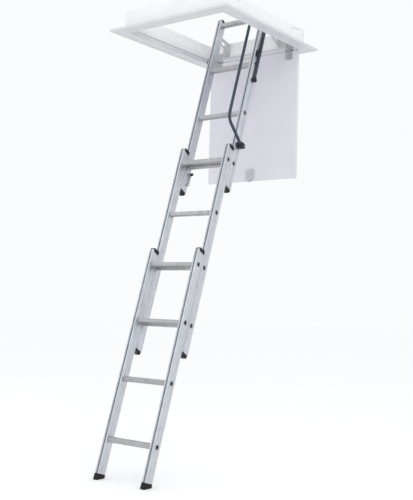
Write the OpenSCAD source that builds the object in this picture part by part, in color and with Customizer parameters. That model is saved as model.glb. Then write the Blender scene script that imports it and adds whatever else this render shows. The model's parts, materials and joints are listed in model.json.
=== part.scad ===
// Three-section aluminium attic ladder, hung by a pair of swing arms in a boxed ceiling hatch.
// Millimetres. Origin: centre of the hatch opening, level with the ceiling. +X is the climber's
// right, +Y the way the climber faces (towards the door's hinges), +Z up.

/* [Hatch] */
// Clear width of the opening
opening_w = 608; // [520:1:740]
// Clear length of the opening
opening_l = 725; // [640:1:900]
// Height of the lining above the ceiling
lining_h = 100; // [90:1:160]
// Thickness of the lining boards
lining_t = 18; // [15:1:25]
// Width of the architrave's face
architrave_w = 74; // [50:1:100]
// Thickness of the architrave
architrave_t = 12; // [10:1:18]
// Section of the draught seal's foam strip
seal_size = 8; // [5:1:10]

/* [Door] */
// Thickness of the door panel
door_t = 18; // [12:1:25]
// Clearance between the closed door and the opening, all round
door_gap = 6; // [3:1:8]
// Distance from the middle of the door to the middle of each hinge
hinge_x = 240; // [190:1:250]
// Length of a hinge along its pin
hinge_l = 50; // [40:1:70]
// Radius of a hinge's knuckle
knuckle_r = 3.6; // [3:0.1:4]

/* [Ladder] */
// Height from the floor to the ceiling
ceiling_h = 2272; // [1890:1:2700]
// Slope of the ladder from the floor, in degrees
lean = 72.2; // [66:0.1:76]
// Outside width over the stiles
ladder_w = 321; // [270:1:400]
// Width of a stile, across the ladder
stile_w = 25; // [22:0.5:32]
// Depth of a stile, front to back
stile_d = 48; // [44:0.5:60]
// Wall of the stile's extrusion
stile_wall = 2; // [1.5:0.1:3]
// Space between two sections' stiles
section_gap = 2; // [1.5:0.1:4]
// Distance from one rung to the next
pitch = 300; // [250:1:300]
// Rungs in each section
rung_count = 4; // [4:1:4]
// Stile above the highest rung of the middle and bottom sections
head_stub = 95; // [70:1:110]
// Stile above the highest rung of the top section
top_stub = 47; // [46:1:110]
// Stile below the lowest rung of a section
tail_stub = 171; // [140:1:200]
// Lowest rung's height above the foot, along the ladder
first_rung = 189; // [170:1:230]
// Drop from the top section's rungs to the middle section's, in rung steps
upper_steps = 3; // [3:1:3]
// Depth of a rung's tread
rung_d = 32; // [28:1:36]
// Height of a rung
rung_h = 24; // [20:1:28]
// Radius of the spigot that passes through the stile
spigot_r = 11; // [8:0.5:12]

/* [Arms and handrail] */
// Swing arm, from pivot to pivot
arm_l = 340; // [280:1:420]
// Width of a swing arm's bar
arm_w = 18; // [14:1:26]
// Thickness of a swing arm's bar
arm_t = 6; // [5:0.5:8]
// Radius of the arms' pivot pins
pin_r = 6; // [4:0.1:7.5]
// Pivot's distance in front of the far lining
pivot_back = 130; // [110:1:160]
// Pivot's height above the ceiling
pivot_h = 109; // [100:1:160]
// Distance from the upper pivot to the top end of the ladder, along it
top_reach = 100; // [90:1:200]
// Radius of the handrail's tube
rail_r = 8; // [6:0.5:14]
// Wall of the handrail's tube
rail_wall = 1.5; // [1:0.1:3]
// Distance from the arms' lower pivots down to the handrail's lower bend
rail_below = 320; // [200:1:360]
// Handrail's distance in front of the arm's line
rail_reach = 162; // [120:1:165]

/* [Hidden] */
$fn = 48;
eps = 1;
running = 0.5;        // clearance of a sliding plastic shoe in its slot
fit = 0.05;           // radial clearance of a pin in its hole
rest_gap = 0.3;       // clearance where a plastic plug sits in a stile

// Hatch
seal_z = door_t - architrave_t + 1;      // foam sits just above the closed door
screw_r = 2;
fixing_r = 3;
fixing_pitch = opening_l - 225;
fixing_rise = lining_h / 2;
corner_screw_reach = 30;                 // how far a corner screw goes into the end board

// Door, hanging: its pivot carries it flush into the opening when it is swung shut
door_w = opening_w - 2 * door_gap;
door_l = opening_l - 2 * door_gap;
door_drop = architrave_t + 2;            // top edge of the hanging door below the ceiling
hinge_y = (opening_l / 2 + door_t + opening_l / 2 - door_gap + door_drop - architrave_t) / 2 - 3;
hinge_z = hinge_y - (opening_l / 2 - door_gap) - door_drop;
door_y = hinge_y + hinge_z + architrave_t - door_t;
leaf_t = 2;
leaf_l = 46;
latch_w = 44;
latch_h = 60;
latch_d = 14;
bolt_w = 12;
bolt_d = 6;
bolt_l = 34;
bolt_out = 9;                            // the bolt's nose beyond the door's edge
bolt_y = door_y - latch_d / 2;
door_end_z = -door_drop - door_l;
latch_lip = 4;                           // door left below the latch's housing
pocket_w = bolt_w + 1;
pocket_d = bolt_d + 1;
pocket_h = latch_h - 6;
spring_r = 2.4;
spring_wire = 0.5;
spring_turns = 5;

// Ladder, in its own axes: origin at the arms' upper pivot, +Y backwards, +Z up the stiles
pivot_y = opening_l / 2 - pivot_back;
top_n = -10;
section_step = stile_d + section_gap;
middle_n = top_n - section_step;
bottom_n = middle_n - section_step;
section_n = [top_n, middle_n, bottom_n];
foot_t = (-ceiling_h - pivot_h + bottom_n * cos(lean)) / sin(lean);
span = (rung_count - 1) * pitch;
stubs = [top_stub, head_stub, head_stub];
top_rung_t = top_reach - top_stub;
middle_rung_t = top_rung_t - upper_steps * pitch;
bottom_rung_t = foot_t + first_rung + span;
high_rung_t = [top_rung_t, middle_rung_t, bottom_rung_t];
slot_w = 15;
slot_d = 5;
slot_mouth = 9;
web = 1.6;
chamber_w = stile_w - 2 * stile_wall;
chamber_d = stile_d - 2 * (stile_wall + slot_d + web);
stile_x = ladder_w / 2 - stile_w / 2;
inner_x = ladder_w / 2 - stile_w;
outer_x = ladder_w / 2;
cap_h = 18;
cap_low = 6;
cap_proud = 1.5;
plug_l = 14;
flare_r = spigot_r + 2.5;
flare_t = 1.2;
bore_r = spigot_r - 1.6;
foot_h = 24;
foot_wall = 2.5;
foot_sole = 12;
sole_drop = 30;
stop_h = 8;

// Arms
arm_x = outer_x + 2;
arm_turn_r = arm_w / 2 + 4;
lower_pivot_t = -arm_l;
stop_t = lower_pivot_t + 154;
stop_l = 36;
stop_reach = 18;                         // front of the stop before the middle of the stile
washer_r = pin_r + 4;
boss_r = pin_r + 9;
boss_t = 6;
head_r = 9;
head_t = 2;
head_sunk = 0.2;                         // pin's head below the arm's inner face
ear_gap = 0.5;
ear_x = arm_x + arm_t + ear_gap;
ear_t = 4;
ear_r = 16;
nut_t = 5;
plate_w = 40;
plate_low = 22;
plate_high = lining_h - 6;

// Handrail
rail_x = arm_x + arm_t + 6 + rail_r;
rail_n = -rail_reach;
rail_end_n = -16;
rail_bend_r = 60;
rail_slant = 80;                         // how far each end runs along the ladder while it bends back
bracket_l = 26;
bracket_d = 38;
bracket_gap = 10;                        // upper bracket above the arm's pivot bracket
rail_low_t = -arm_l - rail_below;
rail_high_t = ear_r + bracket_gap + bracket_l / 2 - rail_slant;
rail_ends_t = [rail_low_t - rail_slant, rail_high_t + rail_slant];
rail_turn = atan2(rail_end_n - rail_n, rail_slant);
bracket_wall = 3;                        // bracket beyond the tube
bolt_r = 3;
bolt_head_r = 5.5;
bolt_back = 8;                           // bolts in front of the bracket's back

// Section catches, hanging open below the lowest rung of the upper of two sections
catch_t = 5;
catch_drop = 34;
catch_back = 24;
catch_l = 66;
catch_w = 12;
catch_pin_r = 3;
knob_r = 8;
knob_l = 12;
catch_x = inner_x - cap_proud - catch_t - 1;

RUNGS = [for (k = [1:rung_count]) k];
SECTIONS = ["top", "middle", "bottom"];

// ---- helpers ----

// An outline in Y and Z, extruded from x0 to x1
module slab_yz(x0, x1) {
    translate([x0, 0, 0]) rotate([90, 0, 90]) linear_extrude(x1 - x0) children();
}

// A round bar along X, from x0 to x1
module bar_x(x0, x1, r) {
    translate([x0, 0, 0]) rotate([0, 90, 0]) cylinder(r = r, h = x1 - x0);
}

// A box from one corner to the opposite one
module span_box(low, high) {
    translate(low) cube(high - low);
}

module both_sides() {
    children();
    mirror([1, 0, 0]) children();
}

module on_side(side) {
    if (side == "left") mirror([1, 0, 0]) children();
    else children();
}

// Ladder axes to hatch axes
module on_ladder() {
    translate([0, pivot_y, pivot_h]) rotate([lean - 90, 0, 0]) children();
}

// ---- hatch frame ----

// Centres of the four joist fixings in a side lining, as [y, z]
fixings = [for (y = [-1, 1], z = [-1, 1])
    [y * fixing_pitch / 2, lining_h / 2 + z * fixing_rise / 2]];

// Screws that join the lining's corners: height above the ceiling
corner_screw_z = [lining_h * 0.25, lining_h * 0.75];
corner_screw_l = lining_t + corner_screw_reach;

module corner_screws(grow) {
    for (x = [-1, 1], y = [-1, 1], z = corner_screw_z)
        translate([x * (opening_w / 2 + lining_t), y * (opening_l + lining_t) / 2, z])
            rotate([0, -x * 90, 0]) {
                cylinder(r = screw_r + grow, h = corner_screw_l);
                cylinder(r = 2 * screw_r + grow, h = 2);
            }
}

bracket_screw_x = ear_x + ear_t + plate_w / 2 + 4;
bracket_screw_z = [plate_low + 14, plate_high - 14];

module bracket_screws(grow) {
    both_sides() for (z = bracket_screw_z)
        translate([bracket_screw_x, opening_l / 2 - 4, z]) rotate([-90, 0, 0]) {
            cylinder(r = screw_r + grow, h = 16);
            translate([0, 0, -1.6]) cylinder(r = 2 * screw_r + grow, h = 1.6);
        }
}

hinge_screw_z = 22;

module hinge_screws(grow) {
    both_sides() for (dx = [-1, 1])
        translate([hinge_x + dx * hinge_l / 4, opening_l / 2 - leaf_t, hinge_screw_z])
            rotate([-90, 0, 0]) {
                cylinder(r = screw_r + grow, h = 14);
                translate([0, 0, -1.2]) cylinder(r = 2 * screw_r + grow, h = 1.2);
            }
}

module frame_screws() {
    color("silver") {
        corner_screws(0);
        bracket_screws(0);
        hinge_screws(0);
    }
}

module lining_end(side) {
    color("white") difference() {
        translate([-opening_w / 2, side * opening_l / 2 + (side < 0 ? -lining_t : 0), 0])
            cube([opening_w, lining_t, lining_h]);
        corner_screws(fit);
        if (side > 0) {
            bracket_screws(fit);
            hinge_screws(fit);
        }
    }
}

module lining_side(side) {
    x = opening_w / 2;
    color("white") on_side(side) difference() {
        span_box([x, -opening_l / 2 - lining_t, 0], [x + lining_t, opening_l / 2 + lining_t, lining_h]);
        corner_screws(fit);
        for (p = fixings) translate([0, p[0], p[1]]) bar_x(x - eps, x + lining_t + eps, fixing_r);
    }
}

// One mitred board, inner edge along half_l at distance across from the middle, with a raised
// outer border, a shallow step along its inner edge and a sealant groove at the lining's foot
module architrave_board(across, half_l) {
    border = 14;
    inner_step = 8;
    relief = 2.5;
    groove = 2;
    difference() {
        translate([0, 0, -architrave_t]) linear_extrude(architrave_t) polygon([
            [-half_l, across], [half_l, across],
            [half_l + architrave_w, across + architrave_w],
            [-half_l - architrave_w, across + architrave_w]]);
        translate([-half_l - architrave_w, across + inner_step, -architrave_t - eps])
            cube([2 * (half_l + architrave_w), architrave_w - inner_step - border, relief + eps]);
        translate([-half_l - architrave_w, across + lining_t, -groove])
            cube([2 * (half_l + architrave_w), groove, groove + eps]);
    }
}

module hinge_pocket() {
    both_sides() span_box(
        [hinge_x - hinge_l / 2 - 2, opening_l / 2 - eps, -architrave_t - eps],
        [hinge_x + hinge_l / 2 + 2, hinge_y + knuckle_r + 2, eps]);
}

module architrave_end(side) {
    color("white") difference() {
        mirror([0, side < 0 ? 1 : 0, 0]) architrave_board(opening_l / 2, opening_w / 2);
        if (side > 0) hinge_pocket();
    }
}

module architrave_side(side) {
    color("white") on_side(side) rotate([0, 0, -90]) architrave_board(opening_w / 2, opening_l / 2);
}

// Foam strip round the inside of the lining, cut away at the hinges and at the latch's strike
module draught_seal() {
    color("whitesmoke") difference() {
        translate([0, 0, seal_z]) linear_extrude(seal_size) difference() {
            square([opening_w, opening_l], center = true);
            square([opening_w - 2 * seal_size, opening_l - 2 * seal_size], center = true);
        }
        both_sides() translate([hinge_x - hinge_l / 2 - 1, opening_l / 2 - 2 * seal_size, 0])
            cube([hinge_l + 2, 3 * seal_size, lining_h]);
        translate([-strike_w / 2 - 1, -opening_l / 2 - eps, 0])
            cube([strike_w + 2, 2 * seal_size, lining_h]);
    }
}

strike_w = 40;
strike_t = 2;
strike_above = 14;                       // plate above the bolt's line
strike_z = door_t - architrave_t + latch_d / 2;

module latch_strike() {
    color("silver") difference() {
        translate([-strike_w / 2, -opening_l / 2, 1])
            cube([strike_w, strike_t, strike_z + strike_above]);
        translate([-bolt_w, -opening_l / 2 - eps, strike_z - bolt_d])
            cube([2 * bolt_w, strike_t + 2 * eps, 2 * bolt_d]);
    }
}

// Angle bracket that carries an arm's upper pivot, screwed to the far lining
module pivot_bracket(side) {
    wall_y = opening_l / 2;
    color("dimgray") on_side(side) difference() {
        union() {
            slab_yz(ear_x, ear_x + ear_t) polygon([
                [wall_y, plate_low], [wall_y, plate_high],
                [pivot_y, pivot_h + ear_r], [pivot_y - ear_r, pivot_h], [pivot_y, pivot_h - ear_r]]);
            translate([0, pivot_y, pivot_h]) bar_x(ear_x, ear_x + ear_t, ear_r);
            span_box([ear_x, wall_y - 4, plate_low], [ear_x + ear_t + plate_w, wall_y, plate_high]);
        }
        translate([0, pivot_y, pivot_h]) bar_x(ear_x - eps, ear_x + ear_t + eps, pin_r + fit);
        bracket_screws(fit);
    }
}

module arm_pins() {
    color("silver") both_sides() translate([0, pivot_y, pivot_h]) {
        bar_x(arm_x + head_sunk, arm_x + head_sunk + head_t, head_r);
        bar_x(arm_x + head_sunk, ear_x + ear_t + nut_t, pin_r);
        bar_x(ear_x + ear_t, ear_x + ear_t + nut_t, head_r + 1);
    }
}

// ---- door and its hinges ----

knuckle_l = hinge_l / 3;

module knuckle(from, to, grow) {
    translate([0, hinge_y, hinge_z]) bar_x(from, to, knuckle_r + grow);
}

// Frame half of each hinge: a leaf up the far lining, its two outer knuckles and the pin
module frame_hinge_leaves() {
    wall_y = opening_l / 2;
    x0 = hinge_x - hinge_l / 2;
    color("gainsboro") both_sides() difference() {
        union() {
            span_box([x0, wall_y - leaf_t, 1], [x0 + hinge_l, wall_y, leaf_l]);
            for (x = [x0, x0 + 2 * knuckle_l + 0.3]) {
                knuckle(x, x + knuckle_l - 0.3, 0);
                slab_yz(x, x + knuckle_l - 0.3) polygon([
                    [wall_y - leaf_t, 2], [wall_y, 2], [wall_y, 0],
                    [hinge_y, hinge_z + knuckle_r - 0.5], [hinge_y, hinge_z - knuckle_r + 1],
                    [wall_y - leaf_t, hinge_z + knuckle_r - 3]]);
            }
            knuckle(x0, x0 + hinge_l, 1.8 - knuckle_r);
        }
        hinge_screws(fit);
    }
}

// Door half: a cranked leaf on the door's upper face, with the middle knuckle
module door_hinge_leaves() {
    x0 = hinge_x - hinge_l / 2;
    top_z = -door_drop;
    color("gainsboro") both_sides() {
        difference() {
            union() {
                knuckle(x0 + knuckle_l + 0.3, x0 + 2 * knuckle_l - 0.3, 0);
                slab_yz(x0 + knuckle_l + 0.3, x0 + 2 * knuckle_l - 0.3) polygon([
                    [door_y - leaf_t, top_z - 6], [door_y, top_z - 6], [door_y, top_z + 1],
                    [hinge_y + 1, hinge_z - knuckle_r + 0.2], [hinge_y - 2, hinge_z + 1],
                    [door_y + 3, top_z + 5], [door_y - leaf_t, top_z + 2]]);
            }
            knuckle(x0, x0 + hinge_l, 1.8 + fit - knuckle_r);
        }
        difference() {
            span_box([x0, door_y - leaf_t, top_z - leaf_l], [x0 + hinge_l, door_y, top_z - 5]);
            door_hinge_screws(fit);
        }
        door_hinge_screws(0);
    }
}

module door_hinge_screws(grow) {
    for (dx = [-1, 1])
        translate([hinge_x + dx * hinge_l / 4, door_y, -door_drop - leaf_l / 2]) rotate([90, 0, 0])
            cylinder(r = 2 * screw_r + grow, h = leaf_t + 0.8);
}

module door_panel() {
    color("white") translate([-door_w / 2, door_y, door_end_z]) cube([door_w, door_t, door_l]);
}

module latch_housing() {
    z0 = door_end_z + latch_lip;
    color("gainsboro") difference() {
        translate([-latch_w / 2, door_y - latch_d, z0]) cube([latch_w, latch_d, latch_h]);
        translate([-pocket_w / 2, bolt_y - pocket_d / 2, z0 - eps])
            cube([pocket_w, pocket_d, pocket_h + eps]);
    }
}

module latch_bolt() {
    nose_z = door_end_z - bolt_out;
    color("silver") slab_yz(-bolt_w / 2, bolt_w / 2) polygon([
        [bolt_y - bolt_d / 2, nose_z + 6], [bolt_y + bolt_d / 2 - 2, nose_z],
        [bolt_y + bolt_d / 2, nose_z], [bolt_y + bolt_d / 2, nose_z + bolt_l],
        [bolt_y - bolt_d / 2, nose_z + bolt_l]]);
}

// Coil spring between the bolt and the head of its pocket
module latch_spring() {
    low = door_end_z - bolt_out + bolt_l + spring_wire + 0.1;
    high = door_end_z + latch_lip + pocket_h - spring_wire - 0.1;
    rise = (high - low) / spring_turns;
    steps = spring_turns * 10;
    color("silver") polyhedron(
        points = [for (i = [0:steps], k = [0:5]) let (a = i * 36, b = k * 60,
            reach = spring_r + spring_wire * cos(b))
            [reach * cos(a), bolt_y + reach * sin(a), low + rise * i / 10 + spring_wire * sin(b)]],
        faces = concat(
            [[for (k = [5:-1:0]) k]],
            [[for (k = [0:5]) steps * 6 + k]],
            skin_faces(steps, 6, 0)));
}

// Triangles between rings of the same number of points, numbered from start
function skin_faces(steps, sides, start) = [
    for (i = [0:steps - 1], k = [0:sides - 1])
        let (a = start + i * sides + k, b = start + i * sides + (k + 1) % sides)
        each [[a, b, b + sides], [a, b + sides, a + sides]]];

// ---- swing arms ----

module swing_arm(side) {
    color("midnightblue") on_side(side) on_ladder() difference() {
        union() {
            span_box([arm_x, -arm_w / 2, lower_pivot_t], [arm_x + arm_t, arm_w / 2, 0]);
            for (t = [lower_pivot_t, 0]) translate([0, 0, t]) bar_x(arm_x, arm_x + arm_t, arm_turn_r);
        }
        for (t = [lower_pivot_t, 0])
            translate([0, 0, t]) bar_x(arm_x - eps, arm_x + arm_t + eps, pin_r + fit);
        bar_x(arm_x - eps, arm_x + head_sunk + head_t + 0.1, head_r + rest_gap);
    }
}

// Pivot boss on each stile: washer, pin and cap that hold an arm's lower eye
module arm_bosses() {
    color("black") both_sides() on_ladder() translate([0, 0, lower_pivot_t]) {
        bar_x(outer_x, arm_x - rest_gap, washer_r);
        bar_x(outer_x, arm_x + arm_t + boss_t / 2, pin_r);
        bar_x(arm_x + arm_t + rest_gap, arm_x + arm_t + boss_t, boss_r);
    }
}

// Block in front of each arm that stops it in line with the stile
module arm_stops() {
    color("black") both_sides() on_ladder() difference() {
        span_box([outer_x, top_n - stop_reach, stop_t - stop_l / 2],
                 [arm_x + arm_t + 2, -arm_w / 2 - rest_gap, stop_t + stop_l / 2]);
        rung_end_recess();
    }
}

// Room for the top section's flared rung ends in what is fixed to the outside of its stiles
module rung_end_recess() {
    for (k = RUNGS) translate([0, top_n, top_rung_t - (k - 1) * pitch])
        bar_x(outer_x - eps, outer_x + flare_t + rest_gap, flare_r + rest_gap);
}

// ---- ladder sections ----

module stile_outline() {
    difference() {
        square([stile_w, stile_d], center = true);
        square([chamber_w, chamber_d], center = true);
        for (s = [-1, 1]) {
            translate([0, s * stile_d / 2]) square([slot_mouth, 2 * stile_wall + eps], center = true);
            translate([0, s * (stile_d / 2 - stile_wall - slot_d / 2)])
                square([slot_w, slot_d], center = true);
        }
    }
}

// Ends of a section's extrusion, inside its caps; the bottom section's stands in its foot
function stile_low(s) = s == 2 ? foot_t + foot_sole : high_rung_t[s] - span - tail_stub + cap_h;
function stile_high(s) = high_rung_t[s] + stubs[s] - cap_h;

module stile(s, side) {
    color("gainsboro") on_side(side) on_ladder() difference() {
        translate([stile_x, section_n[s], stile_low(s)])
            linear_extrude(stile_high(s) - stile_low(s)) stile_outline();
        for (k = RUNGS) translate([0, section_n[s], high_rung_t[s] - (k - 1) * pitch])
            bar_x(inner_x - eps, outer_x + eps, spigot_r + 0.02);
    }
}

// Tread with grooves along its top and chamfered lower edges
module rung_outline() {
    ribs = 7;
    groove = 1.2;
    rib = (rung_d - 4) / ribs;
    top = rung_h / 2;
    polygon(concat(
        [[-rung_d / 2, top - 2], [-rung_d / 2, -top + 6], [-rung_d / 2 + 6, -top],
         [rung_d / 2 - 6, -top], [rung_d / 2, -top + 6], [rung_d / 2, top - 2]],
        [for (i = [ribs - 1:-1:0]) let (y = -rung_d / 2 + 2 + i * rib)
            each [[y + rib * 0.8, top], [y + rib * 0.2, top], [y + rib * 0.1, top - groove],
                  [y - rib * 0.1, top - groove]]]));
}

// Hollow tread between the stiles, with a flared spigot through each
module rung(s, k) {
    wall = 2;
    color("darkgray") on_ladder() translate([0, section_n[s], high_rung_t[s] - (k - 1) * pitch])
        difference() {
            union() {
                rotate([90 - lean, 0, 0]) slab_yz(-inner_x, inner_x) rung_outline();
                bar_x(-outer_x - flare_t, outer_x + flare_t, spigot_r);
                both_sides() bar_x(outer_x, outer_x + flare_t, flare_r);
            }
            bar_x(-outer_x - 2 * flare_t, outer_x + 2 * flare_t, bore_r);
            rotate([90 - lean, 0, 0]) translate([-inner_x + wall, -rung_d / 2 + wall, -rung_h / 2 + wall])
                cube([2 * (inner_x - wall), rung_d - 2 * wall, rung_h - 2 * wall - 1.2]);
        }
}

// Plastic cap on a stile's end, with a plug inside it. reach is +1 or -1 for the side whose
// neighbour its T-shaped tongue rides in, where the cap is full height, or 0 for none.
module end_cap(reach) {
    tongue_n = stile_d / 2 + section_gap + stile_wall + running;
    half_w = stile_w / 2 + cap_proud;
    plug = [chamber_w - 2 * rest_gap, chamber_d - 2 * rest_gap, plug_l + eps];
    mirror([0, reach < 0 ? 1 : 0, 0]) slab_yz(-half_w, half_w) polygon([
        [-stile_d / 2, 0], [stile_d / 2, 0], [stile_d / 2, cap_h], [stile_d / 8, cap_h],
        [-stile_d / 4, cap_low], [-stile_d / 2, cap_low]]);
    translate([-plug[0] / 2, -plug[1] / 2, -plug_l]) cube(plug);
    if (reach != 0) mirror([0, reach < 0 ? 1 : 0, 0]) {
        neck = slot_mouth - 2 * running;
        head = slot_w - 2 * running;
        translate([-neck / 2, stile_d / 2 - eps, 0]) cube([neck, tongue_n - stile_d / 2 + 2 * eps, cap_h]);
        translate([-head / 2, tongue_n, 0]) cube([head, slot_d - 2 * running, cap_h]);
    }
}

module head_caps(s, reach) {
    color("black") both_sides() on_ladder()
        translate([stile_x, section_n[s], stile_high(s)]) end_cap(reach);
}

module tail_caps(s, reach) {
    color("black") both_sides() on_ladder()
        translate([stile_x, section_n[s], stile_low(s)]) mirror([0, 0, 1]) end_cap(reach);
}

// Riveted blocks in a stile's front slot: the next section's tongue comes down onto them
module slide_stops(s) {
    tongue_t = stile_high(s + 1);
    color("silver") both_sides() on_ladder() translate([
        stile_x - slot_w / 2 + rest_gap,
        section_n[s] - stile_d / 2 + stile_wall + rest_gap,
        tongue_t - rest_gap - stop_h])
        cube([slot_w - 2 * rest_gap, slot_d - rest_gap, stop_h]);
}

// Rubber foot: a boot round the bottom section's stile, cut level with the floor
module foot(side) {
    outer_d = stile_d + 2 * foot_wall;
    outer_w = stile_w + 2 * foot_wall;
    color("black") on_side(side) difference() {
        on_ladder() translate([stile_x, bottom_n, foot_t]) difference() {
            translate([-outer_w / 2, -outer_d / 2, -sole_drop])
                cube([outer_w, outer_d, sole_drop + foot_h]);
            translate([-stile_w / 2, -stile_d / 2, stile_low(2) - foot_t])
                cube([stile_w, stile_d, foot_h]);
        }
        translate([0, -ladder_w * 5, -ceiling_h - 200]) cube([ladder_w, ladder_w * 10, 200]);
    }
}

// ---- section catches ----

catch_n = top_n + catch_back - 4;
catch_pivot_t = top_rung_t - span - catch_drop;

// Pin with a finger knob on its inner end
module catch_pins() {
    color("black") both_sides() on_ladder() translate([0, catch_n, catch_pivot_t]) {
        bar_x(catch_x - 0.5, inner_x, catch_pin_r);
        bar_x(catch_x - 0.5 - knob_l, catch_x - 0.5, knob_r);
    }
}

module catch(side) {
    color("silver") on_side(side) on_ladder() translate([0, catch_n, catch_pivot_t]) difference() {
        union() {
            bar_x(catch_x, catch_x + catch_t, catch_w / 2 + 1);
            slab_yz(catch_x, catch_x + catch_t) polygon([
                [-catch_w / 2, 0], [-catch_w / 2 + 2, 14 - catch_l], [-catch_w / 2 - 4, 10 - catch_l],
                [-catch_w / 2 - 4, -catch_l], [catch_w / 2 - 5, -catch_l - 4],
                [catch_w / 2, -catch_l], [catch_w / 2, 0]]);
        }
        bar_x(catch_x - eps, catch_x + catch_t + eps, catch_pin_r + fit);
    }
}

// ---- handrail ----

// Corners of the rail's centre line, as [across, along] the ladder, from its lower end up
rail_corners = [
    [rail_end_n, rail_ends_t[0]], [rail_n, rail_low_t],
    [rail_n, rail_high_t], [rail_end_n, rail_ends_t[1]]];
rail_steps = 8;
rail_sides = 24;

function unit(v) = v / norm(v);

// Points of the rounded centre line, each with the direction of the tube there
function rail_bend(before, corner, after) = let (
    tangent = rail_bend_r * tan(rail_turn / 2),
    start = corner - tangent * unit(corner - before),
    centre = [corner[0] + rail_bend_r, corner[1] == rail_low_t ? rail_low_t + tangent : rail_high_t - tangent],
    upper = corner[1] == rail_high_t)
    [for (i = [0:rail_steps]) let (a = upper ? -i * rail_turn / rail_steps
                                             : (rail_steps - i) * rail_turn / rail_steps)
        [centre - rail_bend_r * [cos(a), sin(a)], [-sin(a), cos(a)]]];

rail_path = concat(
    [[rail_corners[0], unit(rail_corners[1] - rail_corners[0])]],
    rail_bend(rail_corners[0], rail_corners[1], rail_corners[2]),
    rail_bend(rail_corners[1], rail_corners[2], rail_corners[3]),
    [[rail_corners[3], unit(rail_corners[3] - rail_corners[2])]]);

function rail_rings(r) = [for (p = rail_path, k = [0:rail_sides - 1])
    let (a = k * 360 / rail_sides, side = [p[1][1], -p[1][0]])
    [rail_x + r * cos(a), p[0][0] + r * sin(a) * side[0], p[0][1] + r * sin(a) * side[1]]];

// Bent steel tube, swept as an outer and an inner skin
module handrail() {
    steps = len(rail_path) - 1;
    inner = len(rail_path) * rail_sides;
    last = steps * rail_sides;
    color("midnightblue") on_ladder() polyhedron(
        points = concat(rail_rings(rail_r), rail_rings(rail_r - rail_wall)),
        faces = concat(
            [for (f = skin_faces(steps, rail_sides, 0)) [f[0], f[2], f[1]]],
            skin_faces(steps, rail_sides, inner),
            [for (k = [0:rail_sides - 1]) let (m = (k + 1) % rail_sides)
                each [[k, m, inner + m], [k, inner + m, inner + k],
                      [last + m, last + k, inner + last + k],
                      [last + m, inner + last + k, inner + last + m]]]));
}

module rail_socket(lower) {
    end = lower ? rail_corners[0] : rail_corners[3];
    corner = lower ? rail_corners[1] : rail_corners[2];
    d = corner - end;
    translate([rail_x, end[0], end[1]]) rotate([-atan2(d[0], d[1]), 0, 0])
        translate([0, 0, -fit]) cylinder(r = rail_r + fit, h = norm(d));
}

// Plastic bracket on the right stile at each end of the handrail, with a socket for the tube
module handrail_brackets() {
    back = top_n + stile_d / 2;
    color("black") on_ladder() difference() {
        for (t = rail_ends_t) translate([outer_x, back - bracket_d, t - bracket_l / 2])
            cube([rail_x + rail_r + bracket_wall - outer_x, bracket_d, bracket_l]);
        rail_socket(true);
        rail_socket(false);
        handrail_bolt_shapes(fit);
        rung_end_recess();
    }
}

module handrail_bolt_shapes(grow) {
    face_x = rail_x + rail_r + bracket_wall;
    for (t = rail_ends_t)
        translate([0, top_n + stile_d / 2 - bolt_back, t]) {
            bar_x(outer_x, face_x + grow, bolt_r + grow);
            bar_x(face_x - bracket_wall, face_x + grow, bolt_head_r + grow);
        }
}

module handrail_bolts() {
    color("silver") on_ladder() handrail_bolt_shapes(0);
}

// ---- nodes ----

lining_end(-1);  // lining_near
lining_end(1);  // lining_far
lining_side("left");  // lining_left
lining_side("right");  // lining_right
architrave_end(-1);  // architrave_near
architrave_end(1);  // architrave_far
architrave_side("left");  // architrave_left
architrave_side("right");  // architrave_right
draught_seal();
frame_screws();
pivot_bracket("left");  // pivot_bracket_left
pivot_bracket("right");  // pivot_bracket_right
arm_pins();
frame_hinge_leaves();
latch_strike();
door_panel();
door_hinge_leaves();
latch_housing();
latch_bolt();
latch_spring();
swing_arm("left");  // swing_arm_left
swing_arm("right");  // swing_arm_right
for (s = [0:2]) {
    for (side = ["left", "right"])
        stile(s, side);
    for (k = RUNGS)
        rung(s, k);
}
head_caps(0, 0);  // top_end_caps
tail_caps(0, -1);  // top_guide_shoes
slide_stops(0);  // top_slide_stops
arm_bosses();
arm_stops();
handrail();
handrail_brackets();
handrail_bolts();
catch_pins();
catch("left");  // catch_left
catch("right");  // catch_right
head_caps(1, 1);  // middle_head_shoes
tail_caps(1, -1);  // middle_tail_shoes
slide_stops(1);  // middle_slide_stops
head_caps(2, 1);  // bottom_head_shoes
foot("left");  // foot_left
foot("right");  // foot_right
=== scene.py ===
"""Visual model of a three-section aluminium attic ladder in its ceiling hatch.

Lengths are in metres. Hatch axes have their origin in the middle of the opening at the ceiling, with
+X to the climber's right, +Y towards the door's hinges and +Z up. Ladder axes start at the arms' upper
pivots: across the ladder, behind it, and up along its stiles.
"""
import json
import logging
import math
from collections.abc import Sequence
from dataclasses import dataclass, field
from enum import Enum

import bmesh
import bpy
from mathutils import Matrix, Vector
from mathutils.geometry import tessellate_polygon


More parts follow.
